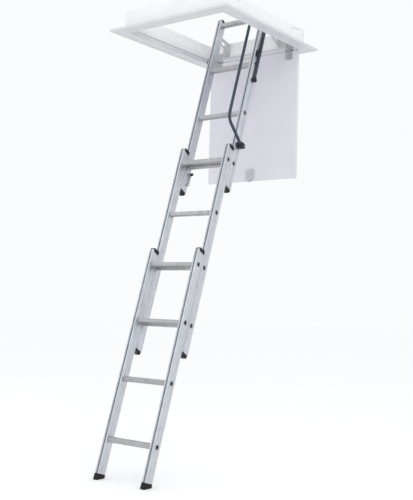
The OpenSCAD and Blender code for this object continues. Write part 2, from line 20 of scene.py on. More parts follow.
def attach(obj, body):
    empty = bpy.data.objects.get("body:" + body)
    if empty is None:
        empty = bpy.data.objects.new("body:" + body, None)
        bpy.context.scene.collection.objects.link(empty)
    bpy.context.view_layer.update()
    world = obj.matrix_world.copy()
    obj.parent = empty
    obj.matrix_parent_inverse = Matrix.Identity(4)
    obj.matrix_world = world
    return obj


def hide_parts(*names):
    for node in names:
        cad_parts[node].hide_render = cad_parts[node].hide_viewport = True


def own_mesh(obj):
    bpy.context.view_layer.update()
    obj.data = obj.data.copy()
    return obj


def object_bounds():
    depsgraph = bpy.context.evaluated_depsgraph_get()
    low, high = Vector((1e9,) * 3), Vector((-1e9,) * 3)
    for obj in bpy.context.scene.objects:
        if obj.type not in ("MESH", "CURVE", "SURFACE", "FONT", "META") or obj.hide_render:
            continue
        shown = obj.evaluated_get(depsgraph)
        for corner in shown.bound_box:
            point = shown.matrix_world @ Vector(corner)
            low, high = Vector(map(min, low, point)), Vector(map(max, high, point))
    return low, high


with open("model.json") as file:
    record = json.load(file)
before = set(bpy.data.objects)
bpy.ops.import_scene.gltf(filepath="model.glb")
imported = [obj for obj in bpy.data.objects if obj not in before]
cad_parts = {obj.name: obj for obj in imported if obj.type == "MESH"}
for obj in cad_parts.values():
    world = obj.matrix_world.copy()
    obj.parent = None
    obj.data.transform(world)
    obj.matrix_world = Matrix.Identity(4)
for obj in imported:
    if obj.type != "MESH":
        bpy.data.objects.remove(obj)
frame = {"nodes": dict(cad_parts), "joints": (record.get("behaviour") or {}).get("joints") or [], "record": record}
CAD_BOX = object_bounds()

MM = 0.001
FAR_AWAY = 9.0
SIDES = 40
SHARP_ANGLE = math.radians(32)
LOG = logging.getLogger("attic_ladder")

Pair = tuple[float, float]
Triple = tuple[float, float, float]
Loop = list[Pair]
Object = bpy.types.Object
Socket = bpy.types.NodeSocket

JOINTS = {joint["name"]: joint for joint in frame["joints"]}
BODY_OF = {
    node: body
    for body, nodes in frame["record"]["behaviour"]["bodies"].items()
    for node in nodes
}

UPPER_PIVOT = Vector(JOINTS["right_arm_swing"]["pos_m"])
LOWER_PIVOT = Vector(JOINTS["ladder_pivot"]["pos_m"])
ARM_LINE = UPPER_PIVOT - LOWER_PIVOT
LEAN = math.atan2(ARM_LINE.z, ARM_LINE.y)
HATCH = Matrix.Identity(4)
LADDER = Matrix.Translation(UPPER_PIVOT) @ Matrix.Rotation(LEAN - math.pi / 2, 4, "X")


class Axis(Enum):
    """The direction in which an outline is extruded or turned."""

    X = 0
    Y = 1
    Z = 2

    def point(self, a: float, b: float, height: float) -> Vector:
        """Place a point of an outline at a height along this axis.

        Args:
            a: The outline's first coordinate.
            b: The outline's second coordinate.
            height: The place along this axis.

        Returns:
            The point.
        """
        if self is Axis.X:
            return Vector((height, a, b))
        if self is Axis.Y:
            return Vector((a, height, b))
        return Vector((a, b, height))


class Side(Enum):
    """Left or right, as the climber sees it."""

    LEFT = -1
    RIGHT = 1

    @property
    def word(self) -> str:
        """The side's name, as node names have it."""
        return self.name.lower()


@dataclass(frozen=True)
class Extent:
    """How far a CAD node reaches along three axes."""

    low: Vector
    high: Vector

    @property
    def centre(self) -> Vector:
        """Middle of the extent."""
        return (self.low + self.high) / 2

    @property
    def size(self) -> Vector:
        """Length along each axis."""
        return self.high - self.low


def extent(node: str, axes: Matrix = HATCH, low: Triple | None = None, high: Triple | None = None) -> Extent:
    """Measure a CAD node, or the part of it inside a box.

    Args:
        node: Name of the CAD node.
        axes: Axes in which it is measured.
        low: Lowest corner of the box that limits it, or None.
        high: Highest corner of that box, or None.

    Returns:
        The extent in those axes.
    """
    inverse = axes.inverted()
    points = [inverse @ vertex.co for vertex in frame["nodes"][node].data.vertices]
    if low is not None:
        points = [p for p in points if all(p[i] >= low[i] for i in range(3))]
    if high is not None:
        points = [p for p in points if all(p[i] <= high[i] for i in range(3))]
    return Extent(
        Vector([min(p[i] for p in points) for i in range(3)]),
        Vector([max(p[i] for p in points) for i in range(3)]),
    )


def right_extent(node: str, axes: Matrix = LADDER) -> Extent:
    """Measure the right-hand part of a node that lies on both sides."""
    return extent(node, axes, low=(0, -FAR_AWAY, -FAR_AWAY))


# ---- outlines ----


def rounded(points: Sequence[Pair], radius: float | Sequence[float], steps: int = 4) -> Loop:
    """Round the corners of a closed outline.

    Args:
        points: Corners of the outline, in order.
        radius: Radius of every corner, or one radius for each.
        steps: Pieces in each arc.

    Returns:
        The outline with an arc in place of each corner.
    """
    radii = [radius] * len(points) if isinstance(radius, (int, float)) else list(radius)
    loop: Loop = []
    for i, corner in enumerate(points):
        before = Vector(points[i - 1]) - Vector(corner)
        after = Vector(points[(i + 1) % len(points)]) - Vector(corner)
        half = before.angle(after) / 2
        reach = min(radii[i] / math.tan(half), 0.48 * before.length, 0.48 * after.length)
        if reach < 0.02 * MM or math.pi / 2 - half < 0.03:
            loop.append(tuple(corner))
            continue
        turn_radius = reach * math.tan(half)
        middle = (before.normalized() + after.normalized()).normalized()
        centre = Vector(corner) + middle * turn_radius / math.sin(half)
        first = Vector(corner) + before.normalized() * reach - centre
        last = Vector(corner) + after.normalized() * reach - centre
        start = math.atan2(first.y, first.x)
        turn = (math.atan2(last.y, last.x) - start + math.pi) % math.tau - math.pi
        for k in range(steps + 1):
            angle = start + turn * k / steps
            loop.append((centre.x + turn_radius * math.cos(angle), centre.y + turn_radius * math.sin(angle)))
    return loop


def circle(radius: float, centre: Pair = (0.0, 0.0), sides: int = SIDES) -> Loop:
    """Points of a circle.

    Args:
        radius: Its radius.
        centre: Its middle.
        sides: How many points it has.

    Returns:
        The points, once round.
    """
    return [
        (centre[0] + radius * math.cos(math.tau * k / sides),
         centre[1] + radius * math.sin(math.tau * k / sides))
        for k in range(sides)
    ]


def arc(radius: float, centre: Pair, start: float, stop: float, steps: int) -> Loop:
    """Points of an arc, from one angle to another in degrees."""
    angles = [math.radians(start + (stop - start) * k / steps) for k in range(steps + 1)]
    return [(centre[0] + radius * math.cos(a), centre[1] + radius * math.sin(a)) for a in angles]


def rectangle(low: Pair, high: Pair) -> Loop:
    """Corners of a rectangle from its lowest to its highest corner."""
    return [(low[0], low[1]), (high[0], low[1]), (high[0], high[1]), (low[0], high[1])]


# ---- meshes ----


class Form:
    """A mesh being built in the axes of the sub-assembly that it belongs to."""

    def __init__(self, axes: Matrix = HATCH) -> None:
        """Start an empty mesh in the given axes."""
        self.bm = bmesh.new()
        self.axes = axes

    def ring(self, points: Sequence[Vector]) -> list[bmesh.types.BMVert]:
        """Add a ring of vertices."""
        return [self.bm.verts.new(p) for p in points]

    def skin(self, rings: Sequence[Sequence[bmesh.types.BMVert]], closed: bool = False) -> None:
        """Join rings of equal length, and rings of one vertex, with faces.

        Args:
            rings: The rings in order.
            closed: Whether the last ring joins the first.
        """
        pairs = list(zip(rings, rings[1:]))
        if closed:
            pairs.append((rings[-1], rings[0]))
        for a, b in pairs:
            count = max(len(a), len(b))
            for i in range(count):
                j = (i + 1) % count
                corners = [a[i % len(a)], a[j % len(a)], b[j % len(b)], b[i % len(b)]]
                self.bm.faces.new(list(dict.fromkeys(corners)))

    def prism(self, loops: Sequence[Loop], low: float, high: float, axis: Axis) -> "Form":
        """Extrude an outline with any holes.

        Args:
            loops: The outline, followed by its holes.
            low: Height of the lower end along the axis.
            high: Height of the upper end.
            axis: Direction of the extrusion.

        Returns:
            This form.
        """
        flat = [Vector((a, b, 0)) for loop in loops for a, b in loop]
        ends = [self.ring([axis.point(p.x, p.y, h) for p in flat]) for h in (low, high)]
        if len(loops) == 1:
            for end in ends:
                self.bm.faces.new(end)
        else:
            for triangle in tessellate_polygon([[Vector((a, b, 0)) for a, b in loop] for loop in loops]):
                for end in ends:
                    self.bm.faces.new([end[i] for i in triangle])
        start = 0
        for loop in loops:
            stop = start + len(loop)
            self.skin([ends[0][start:stop], ends[1][start:stop]])
            start = stop
        return self

    def box(self, low: Sequence[float], high: Sequence[float], radius: float = 0.0,
            axis: Axis = Axis.X) -> "Form":
        """Add a block whose edges along one axis are rounded.

        Args:
            low: Lowest corner.
            high: Highest corner.
            radius: Radius of the edges along the axis.
            axis: The axis those edges follow.

        Returns:
            This form.
        """
        a, b = [i for i in range(3) if i != axis.value]
        loop = rectangle((low[a], low[b]), (high[a], high[b]))
        if radius > 0:
            loop = rounded(loop, radius)
        return self.prism([loop], low[axis.value], high[axis.value], axis)

    def turned(self, profile: Sequence[Pair], centre: Sequence[float], axis: Axis = Axis.X,
               closed: bool = False, sides: int = SIDES) -> "Form":
        """Turn a profile of (distance along the axis, radius) round an axis.

        Args:
            profile: Points of the profile; a radius of 0 is a pole.
            centre: A point on the axis, from which distances along it are measured.
            axis: Direction of the axis.
            closed: Whether the profile is a closed outline, as for a ring or a tube.
            sides: Number of sides.

        Returns:
            This form.
        """
        middle = Vector(centre)
        rings = []
        for height, radius in profile:
            if radius == 0:
                rings.append(self.ring([middle + axis.point(0, 0, height)]))
            else:
                rings.append(self.ring([middle + axis.point(a, b, height)
                                        for a, b in circle(radius, sides=sides)]))
        self.skin(rings, closed)
        return self

    def both_sides(self) -> "Form":
        """Add the mirror image of what is there, on the other side of the ladder.

        Returns:
            This form.
        """
        copies = bmesh.ops.duplicate(self.bm, geom=self.bm.verts[:] + self.bm.edges[:] + self.bm.faces[:])
        for element in copies["geom"]:
            if isinstance(element, bmesh.types.BMVert):
                element.co.x = -element.co.x
        return self

    def to_side(self, side: Side) -> "Form":
        """Put a right-hand shape on the given side.

        Args:
            side: Where the shape goes.

        Returns:
            This form.
        """
        for vertex in self.bm.verts:
            vertex.co.x *= side.value
        return self

    def object(self, name: str) -> Object:
        """Turn the form into an object in hatch axes, with its faces outward.

        Args:
            name: The object's name.

        Returns:
            The object, in the scene.
        """
        self.bm.transform(self.axes)
        bmesh.ops.remove_doubles(self.bm, verts=self.bm.verts, dist=0.002 * MM)
        bmesh.ops.recalc_face_normals(self.bm, faces=self.bm.faces)
        mesh = bpy.data.meshes.new(name)
        self.bm.to_mesh(mesh)
        self.bm.free()
        piece = bpy.data.objects.new(name, mesh)
        bpy.context.scene.collection.objects.link(piece)
        return piece


def bake(piece: Object) -> Object:
    """Turn a piece and its modifiers into a plain mesh.

    Args:
        piece: The object with its modifiers.

    Returns:
        The same object, with the result as its mesh and no modifier.
    """
    bpy.context.view_layer.update()
    graph = bpy.context.evaluated_depsgraph_get()
    mesh = bpy.data.meshes.new_from_object(piece.evaluated_get(graph))
    piece.modifiers.clear()
    piece.data = mesh
    mesh.name = piece.name
    return piece


def bevelled(piece: Object, width: float, segments: int = 2) -> Object:
    """Round the sharp edges of a piece.

    Args:
        piece: The piece.
        width: Width of the rounding.
        segments: Pieces across it.

    Returns:
        The piece, as a plain mesh.
    """
    bevel = piece.modifiers.new("edges", "BEVEL")
    bevel.width = width
    bevel.segments = segments
    bevel.limit_method = "ANGLE"
    bevel.angle_limit = SHARP_ANGLE
    bevel.use_clamp_overlap = True
    return bake(piece)


def combined(piece: Object, other: Form, operation: str = "DIFFERENCE") -> Object:
    """Cut another form out of a piece, or fuse it on.

    Args:
        piece: The piece.
        other: The form that is cut out or fused on.
        operation: Name of the boolean operation.

    Returns:
        The piece, as a plain mesh.
    """
    tool = other.object("tool")
    boolean = piece.modifiers.new("boolean", "BOOLEAN")
    boolean.operation = operation
    boolean.solver = "EXACT"
    boolean.object = tool
    bake(piece)
    bpy.data.objects.remove(tool)
    return piece


# ---- finishes ----

Colour = tuple[float, float, float]


class Wiring:
    """The node tree of one material, with short calls that add and link its nodes."""

    def __init__(self, material: bpy.types.Material) -> None:
        """Start from the material's own shader.

        Args:
            material: The material whose tree is wired.
        """
        material.use_nodes = True
        self.tree = material.node_tree
        self.shader = next(n for n in self.tree.nodes if n.type == "BSDF_PRINCIPLED")
        self.coords = self.tree.nodes.new("ShaderNodeTexCoord").outputs["Object"]

    def node(self, kind: str, **inputs: object) -> bpy.types.Node:
        """Add a node and set or link its inputs, whose names have _ for a space.

        Args:
            kind: The node's type.
            **inputs: A value or a socket for each of the node's inputs.

        Returns:
            The node.
        """
        node = self.tree.nodes.new(kind)
        for name, value in inputs.items():
            self.feed(node.inputs[name.replace("_", " ")], value)
        return node

    def feed(self, socket: Socket, value: object) -> None:
        """Link a socket to a socket, or give it a value.

        Args:
            socket: The input.
            value: What it gets.
        """
        if isinstance(value, bpy.types.NodeSocket):
            self.tree.links.new(value, socket)
        else:
            socket.default_value = value

    def grain(self, size: Triple, along_ladder: bool = False) -> Socket:
        """Coordinates counted in grains.

        Args:
            size: Size of a grain along each axis.
            along_ladder: Whether the axes are the ladder's, and not the hatch's.

        Returns:
            The coordinates.
        """
        node = self.tree.nodes.new("ShaderNodeMapping")
        node.vector_type = "TEXTURE"
        node.inputs["Scale"].default_value = size
        if along_ladder:
            node.inputs["Rotation"].default_value = (LEAN - math.pi / 2, 0, 0)
        self.feed(node.inputs["Vector"], self.coords)
        return node.outputs["Vector"]

    def noise(self, size: Triple, along_ladder: bool = False, detail: float = 3.0) -> Socket:
        """Noise with grains of the given size.

        Args:
            size: Size of a grain along each axis.
            along_ladder: Whether the axes are the ladder's.
            detail: How many finer layers it has.

        Returns:
            The noise, from 0 to 1.
        """
        node = self.node("ShaderNodeTexNoise", Vector=self.grain(size, along_ladder), Scale=1.0,
                         Detail=detail)
        return node.outputs["Fac"]

    def cells(self, size: float) -> Socket:
        """A different grey for each cell of the given size.

        Args:
            size: Size of a cell.

        Returns:
            The grey, from 0 to 1.
        """
        node = self.node("ShaderNodeTexVoronoi", Vector=self.grain((size,) * 3), Scale=1.0)
        spread = self.node("ShaderNodeSeparateColor", Color=node.outputs["Color"])
        return spread.outputs["Red"]

    def remap(self, value: Socket, start: float, stop: float, low: float, high: float) -> Socket:
        """Map a stretch of values to another, clamped at both ends.

        Args:
            value: What is mapped.
            start: The value that gives low.
            stop: The value that gives high.
            low: The result at the start.
            high: The result at the stop.

        Returns:
            The result.
        """
        node = self.node("ShaderNodeMapRange", Value=value, From_Min=start, From_Max=stop, To_Min=low,
                         To_Max=high)
        return node.outputs["Result"]

    def blend(self, share: Socket, first: Colour | Socket, second: Colour | Socket) -> Socket:
        """Mix two colours.

        Args:
            share: How much of the second there is.
            first: A colour or a socket.
            second: A colour or a socket.

        Returns:
            The mixed colour.
        """
        node = self.tree.nodes.new("ShaderNodeMix")
        node.data_type = "RGBA"
        colour_sockets = [s for s in node.inputs if s.type == "RGBA"]
        self.feed(node.inputs[0], share)
        for socket, value in zip(colour_sockets, (first, second)):
            self.feed(socket, value if isinstance(value, bpy.types.NodeSocket) else (*value, 1.0))
        return next(s for s in node.outputs if s.type == "RGBA")

    def add(self, first: Socket, second: Socket, weight: float) -> Socket:
        """First value plus a share of the second.

        Args:
            first: The value that counts fully.
            second: The value of which a share is added.
            weight: The share.

        Returns:
            The sum.
        """
        node = self.tree.nodes.new("ShaderNodeMath")
        node.operation = "MULTIPLY_ADD"
        for socket, value in zip(node.inputs, (second, weight, first)):
            self.feed(socket, value)
        return node.outputs[0]

    def relief(self, height: Socket, depth: float) -> None:
        """Bump the surface by a height from 0 to 1 times a depth."""
        node = self.node("ShaderNodeBump", Height=height, Distance=depth, Strength=1.0)
        self.feed(self.shader.inputs["Normal"], node.outputs["Normal"])


@dataclass(frozen=True)
class Finish:
    """What every finish has: a name, a main colour and its worn or soiled colour, and roughness."""

    name: str
    colour: Colour
    worn: Colour
    roughness: float

    def material(self) -> bpy.types.Material:
        """The finish as a material, made on first use.

        Returns:
            The material.
        """
        title = f"{self.name}_finish"
        made = bpy.data.materials.get(title)
        if made is None:
            made = bpy.data.materials.new(title)
            wiring = Wiring(made)
            wiring.shader.inputs["Roughness"].default_value = self.roughness
            made.diffuse_color = (*self.colour, 1.0)
            self.wire(wiring)
        return made

    def wire(self, w: Wiring) -> None:
        """Wire the finish; each kind has its own."""
        raise NotImplementedError

    def tone(self, w: Wiring, pattern: Socket, start: float, stop: float) -> None:
        """Colour the surface from its main to its worn colour as a pattern rises."""
        share = w.remap(pattern, start, stop, 0.0, 1.0)
        w.feed(w.shader.inputs["Base Color"], w.blend(share, self.colour, self.worn))

    def polish(self, w: Wiring, pattern: Socket, spread: float) -> None:
        """Vary the roughness with a pattern."""
        value = w.remap(pattern, 0.25, 0.75, self.roughness - spread, self.roughness + spread)
        w.feed(w.shader.inputs["Roughness"], value)


@dataclass(frozen=True)
class PaintedBoard(Finish):
    """Satin paint or foil on board: faint roller texture, scuffs and uneven tone."""

    texture: float = 1.4 * MM

    def wire(self, w: Wiring) -> None:
        """Orange-peel relief under a wide, faint change of tone and small scuffs.

        Args:
            w: The material's wiring.
        """
        cloud = w.noise((0.12, 0.12, 0.16), detail=5.0)
        scuff = w.noise((0.006, 0.03, 0.018), detail=6.0)
        self.tone(w, w.add(cloud, w.remap(scuff, 0.62, 0.75, 0.0, 1.0), 0.35), 0.3, 1.1)
        self.polish(w, cloud, 0.07)
        peel = w.noise((self.texture,) * 3, detail=2.0)
        w.relief(peel, 0.05 * MM)
        w.shader.inputs["Specular IOR Level"].default_value = 0.42


@dataclass(frozen=True)
class DrawnMetal(Finish):
    """Mill-finish extrusion: die lines along its length, dull handling marks across."""

    line: float = 0.9 * MM
    along_ladder: bool = True

    def wire(self, w: Wiring) -> None:
        """Fine and broad die lines, blotches of oxide, and a roughness that follows them.

        Args:
            w: The material's wiring.
        """
        length = 0.9
        if self.along_ladder:
            fine, broad = (self.line, self.line, length), (7 * self.line, 7 * self.line, 2 * length)
        else:
            fine, broad = (length, self.line, self.line), (2 * length, 5 * self.line, 5 * self.line)
        fine_lines = w.noise(fine, self.along_ladder, detail=4.0)
        broad_lines = w.noise(broad, self.along_ladder, detail=2.0)
        oxide = w.noise((0.03, 0.03, 0.05), detail=6.0)
        lines = w.add(broad_lines, fine_lines, 0.6)
        self.tone(w, w.add(lines, oxide, 0.5), 0.85, 1.35)
        self.polish(w, w.add(oxide, fine_lines, 0.3), 0.09)
        w.relief(lines, 0.03 * MM)
        w.shader.inputs["Metallic"].default_value = 1.0
        w.shader.inputs["Anisotropic"].default_value = 0.35


@dataclass(frozen=True)
class PowderCoat(Finish):
    """Powder coat on steel: pebbled relief, rubbed patches."""

    def wire(self, w: Wiring) -> None:
        """Pebbled relief with rubbed, slightly shinier patches.

        Args:
            w: The material's wiring.
        """
        rub = w.noise((0.012, 0.012, 0.05), True, detail=6.0)
        pebble = w.noise((1.1 * MM,) * 3, detail=3.0)
        self.tone(w, w.add(rub, pebble, 0.3), 0.62, 1.05)
        self.polish(w, rub, 0.08)
        w.relief(pebble, 0.12 * MM)
        w.shader.inputs["Coat Weight"].default_value = 0.25
        w.shader.inputs["Coat Roughness"].default_value = 0.3


@dataclass(frozen=True)
class MouldedPlastic(Finish):
    """Moulded plastic with a fine spark-eroded grain."""

    grain: float = 0.7 * MM
    depth: float = 0.06 * MM

    def wire(self, w: Wiring) -> None:
        """Fine grain, faint flow marks and dust in the grain.

        Args:
            w: The material's wiring.
        """
        flow = w.noise((0.02, 0.02, 0.008), detail=4.0)
        grain = w.noise((self.grain,) * 3, detail=4.0)
        self.tone(w, w.add(flow, grain, 0.5), 0.6, 1.15)
        self.polish(w, flow, 0.08)
        w.relief(grain, self.depth)
        w.shader.inputs["Specular IOR Level"].default_value = 0.3


@dataclass(frozen=True)
class ZincPlate(Finish):
    """Zinc-plated steel: small spangles and a mottled shine."""

    spangle: float = 1.6 * MM

    def wire(self, w: Wiring) -> None:
        """Spangled tone and roughness with a fine relief.

        Args:
            w: The material's wiring.
        """
        spangle = w.cells(self.spangle)
        mottle = w.noise((0.004,) * 3, detail=5.0)
        self.tone(w, w.add(spangle, mottle, 0.8), 0.2, 1.5)
        self.polish(w, spangle, 0.1)
        w.relief(mottle, 0.03 * MM)
        w.shader.inputs["Metallic"].default_value = 1.0


@dataclass(frozen=True)
class Foam(Finish):
    """Closed-cell foam: pores and a soft sheen."""

    pore: float = 1.2 * MM

    def wire(self, w: Wiring) -> None:
        """Pores as dark, sunken cells.

        Args:
            w: The material's wiring.
        """
        pores = w.cells(self.pore)
        cloud = w.noise((0.03,) * 3, detail=3.0)
        self.tone(w, w.add(pores, cloud, 0.5), 0.3, 1.4)
        w.relief(pores, 0.25 * MM)
        w.shader.inputs["Sheen Weight"].default_value = 0.2


WHITE_BOARD = PaintedBoard("white_board", (0.86, 0.865, 0.885), (0.79, 0.795, 0.815), 0.42)
DOOR_BOARD = PaintedBoard("door_board", (0.70, 0.70, 0.75), (0.64, 0.64, 0.685), 0.38, 1.8 * MM)
TRIM_BOARD = PaintedBoard("trim_board", (0.67, 0.68, 0.705), (0.60, 0.61, 0.635), 0.4, 1.1 * MM)
STILE_METAL = DrawnMetal("stile_aluminium", (0.645, 0.67, 0.71), (0.47, 0.495, 0.535), 0.36)
RUNG_METAL = DrawnMetal("rung_aluminium", (0.52, 0.52, 0.53), (0.35, 0.35, 0.36), 0.44, 0.8 * MM, False)
NAVY_COAT = PowderCoat("navy_steel", (0.012, 0.028, 0.050), (0.022, 0.042, 0.066), 0.44)
BRACKET_COAT = PowderCoat("bracket_steel", (0.50, 0.51, 0.53), (0.40, 0.41, 0.43), 0.42)
BLACK_PLASTIC = MouldedPlastic("black_plastic", (0.006, 0.007, 0.010), (0.020, 0.022, 0.026), 0.5)
WHITE_PLASTIC = MouldedPlastic("white_plastic", (0.50, 0.51, 0.54), (0.43, 0.44, 0.46), 0.34, 0.9 * MM,
                               0.03 * MM)
FOOT_RUBBER = MouldedPlastic("foot_rubber", (0.008, 0.008, 0.009), (0.035, 0.034, 0.032), 0.7, 1.4 * MM,
                             0.15 * MM)
ZINC = ZincPlate("zinc_steel", (0.66, 0.67, 0.69), (0.46, 0.47, 0.49), 0.32)
SEAL_FOAM = Foam("seal_foam", (0.62, 0.63, 0.65), (0.5, 0.51, 0.53), 0.85)


# ---- putting pieces into the model ----


def dress(piece: Object, finish: Finish, node: str) -> Object:
    """Give a finished mesh its material and its place in the model.

    Args:
        piece: The finished mesh.
        finish: Its finish.
        node: The CAD node that it stands for, whose body it rides on.

    Returns:
        The piece.
    """
    piece.data.materials.clear()
    piece.data.materials.append(finish.material())
    piece.data.polygons.foreach_set("material_index", [0] * len(piece.data.polygons))
    piece.data.shade_smooth()
    piece.data.set_sharp_from_angle(angle=SHARP_ANGLE)
    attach(piece, BODY_OF[node])
    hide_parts(node)
    LOG.info("%s: %d faces on %s", piece.name, len(piece.data.polygons), BODY_OF[node])
    return piece


def publish(form: Form, name: str, finish: Finish, node: str, edge: float = 0.0, segments: int = 2) -> Object:
    """Turn a form into a piece of the model.

    Args:
        form: The form.
        name: Name of the piece.
        finish: Its finish.
        node: The CAD node that it stands for.
        edge: Rounding of its sharp edges, or 0 for none.
        segments: Pieces across that rounding.

    Returns:
        The piece.
    """
    piece = form.object(name)
    if edge > 0:
        bevelled(piece, edge, segments)
    return dress(piece, finish, node)


# ---- geometry nodes ----


class NodeTool:
    """A Geometry Nodes tree with named inputs, applied to a mesh of points or lines."""

    def __init__(self, name: str) -> None:
        """Start a tree with a geometry input and output.

        Args:
            name: The tree's name.
        """
        self.tree = bpy.data.node_groups.new(name, "GeometryNodeTree")
        self.tree.interface.new_socket("Geometry", in_out="INPUT", socket_type="NodeSocketGeometry")
        self.tree.interface.new_socket("Geometry", in_out="OUTPUT", socket_type="NodeSocketGeometry")
        self.source = self.tree.nodes.new("NodeGroupInput")
        self.sink = self.tree.nodes.new("NodeGroupOutput")
        self.identifiers: dict[str, str] = {}

    def size(self, name: str, kind: str = "NodeSocketFloat") -> Socket:
        """Add a named input and return its socket inside the tree.

        Args:
            name: The input's name.
            kind: The socket's type.

        Returns:
            The socket.
        """
        socket = self.tree.interface.new_socket(name, in_out="INPUT", socket_type=kind)
        self.identifiers[name] = socket.identifier
        return self.source.outputs[name]

    def node(self, kind: str, settings: dict[str, str] | None = None, **inputs: object) -> bpy.types.Node:
        """Add a node, choose its settings, and set or link its inputs, whose names have _ for a space.

        Args:
            kind: The node's type.
            settings: The node's options, by name.
            **inputs: A value or a socket for each of the node's inputs.

        Returns:
            The node.
        """
        node = self.tree.nodes.new(kind)
        for name, choice in (settings or {}).items():
            setattr(node, name, choice)
        for name, value in inputs.items():
            socket = node.inputs[name.replace("_", " ")]
            if isinstance(value, bpy.types.NodeSocket):
                self.tree.links.new(value, socket)
            else:
                socket.default_value = value
        return node

    def end(self, geometry: Socket) -> None:
        """Close the tree with Realize Instances and Set Material.

        Args:
            geometry: What comes out before the two last nodes.
        """
        material = self.size("Material", "NodeSocketMaterial")
        real = self.node("GeometryNodeRealizeInstances", Geometry=geometry)
        dressed = self.node("GeometryNodeSetMaterial", Geometry=real.outputs[0], Material=material)
        self.tree.links.new(dressed.outputs[0], self.sink.inputs[0])

    def run(self, piece: Object, **values: object) -> Object:
        """Apply the tree to a piece and turn the result into a plain mesh.

        Args:
            piece: The mesh of points or lines.
            **values: A value for each of the tree's inputs.

        Returns:
            The same object, as the plain mesh.
        """
        modifier = piece.modifiers.new(self.tree.name, "NODES")
        modifier.node_group = self.tree
        for name, value in values.items():
            modifier[self.identifiers[name]] = value
        return bake(piece)


def lines(name: str, chains: Sequence[Sequence[Sequence[float]]], axes: Matrix = HATCH) -> Object:
    """Make an object of loose edges, one chain for each list of points.

    Args:
        name: Name of the object.
        chains: Points of each chain.
        axes: Axes in which the points are given.

    Returns:
        The object, in hatch axes.
    """
    points = [axes @ Vector(p) for chain in chains for p in chain]
    edges = []
    start = 0
    for chain in chains:
        edges += [(start + i, start + i + 1) for i in range(len(chain) - 1)]
        start += len(chain)
    mesh = bpy.data.meshes.new(name)
    mesh.from_pydata(points, edges, [])
    piece = bpy.data.objects.new(name, mesh)
    bpy.context.scene.collection.objects.link(piece)
    return piece


def tube_tool() -> NodeTool:
    """A round bar along chains of edges, with rounded bends and closed ends.

    Returns:
        The tree, whose inputs are Radius, Bend, Sides and Material.
    """
    tool = NodeTool("tube")
    radius, bend = tool.size("Radius"), tool.size("Bend")
    sides = tool.size("Sides", "NodeSocketInt")
    curve = tool.node("GeometryNodeMeshToCurve", Mesh=tool.source.outputs[0])
    fillet = tool.node("GeometryNodeFilletCurve", {"mode": "POLY"}, Curve=curve.outputs[0], Radius=bend,
                       Count=14)
    ring = tool.node("GeometryNodeCurvePrimitiveCircle", Resolution=sides, Radius=radius)
    skin = tool.node("GeometryNodeCurveToMesh", Curve=fillet.outputs[0], Profile_Curve=ring.outputs[0],
                     Fill_Caps=True)
    smooth = tool.node("GeometryNodeSetShadeSmooth", Geometry=skin.outputs[0])
    tool.end(smooth.outputs[0])
    return tool


def scatter_tool() -> NodeTool:
    """A copy of one template at each point, turned to the point's facing attribute.

    Returns:
        The tree, whose inputs are Template and Material.
    """
    tool = NodeTool("fasteners")
    template = tool.size("Template", "NodeSocketObject")
    info = tool.node("GeometryNodeObjectInfo", Object=template)
    facing = tool.node("GeometryNodeInputNamedAttribute", {"data_type": "FLOAT_VECTOR"}, Name="facing")
    turn = tool.node("FunctionNodeAlignRotationToVector", {"axis": "Z"}, Vector=facing.outputs[0])
    spots = tool.node("GeometryNodeInstanceOnPoints", Points=tool.source.outputs[0],
                      Instance=info.outputs["Geometry"], Rotation=turn.outputs[0])
    tool.end(spots.outputs[0])
    return tool


def teeth_tool() -> NodeTool:
    """Rows of small teeth on a tread: each vertex of a grid carries one.

    Returns:
        The tree, whose inputs are the tooth's three sizes and Material.
    """
    tool = NodeTool("tread_teeth")
    length, width = tool.size("Tooth Length"), tool.size("Tooth Width")
    height = tool.size("Tooth Height")
    size = tool.node("ShaderNodeCombineXYZ", X=length, Y=width, Z=height)
    block = tool.node("GeometryNodeMeshCube", Size=size.outputs[0])
    top = tool.node("GeometryNodeInputPosition")
    parts = tool.node("ShaderNodeSeparateXYZ", Vector=top.outputs[0])
    upper = tool.node("FunctionNodeCompare", {"operation": "GREATER_THAN"}, A=parts.outputs["Z"], B=0.0)
    narrow = tool.node("ShaderNodeVectorMath", {"operation": "MULTIPLY"})
    tool.tree.links.new(top.outputs[0], narrow.inputs[0])
    narrow.inputs[1].default_value = (0.86, 0.55, 1.0)
    crown = tool.node("GeometryNodeSetPosition", Geometry=block.outputs["Mesh"], Selection=upper.outputs[0],
                      Position=narrow.outputs[0])
    spots = tool.node("GeometryNodeInstanceOnPoints", Points=tool.source.outputs[0],
                      Instance=crown.outputs[0])
    tool.end(spots.outputs[0])
    return tool


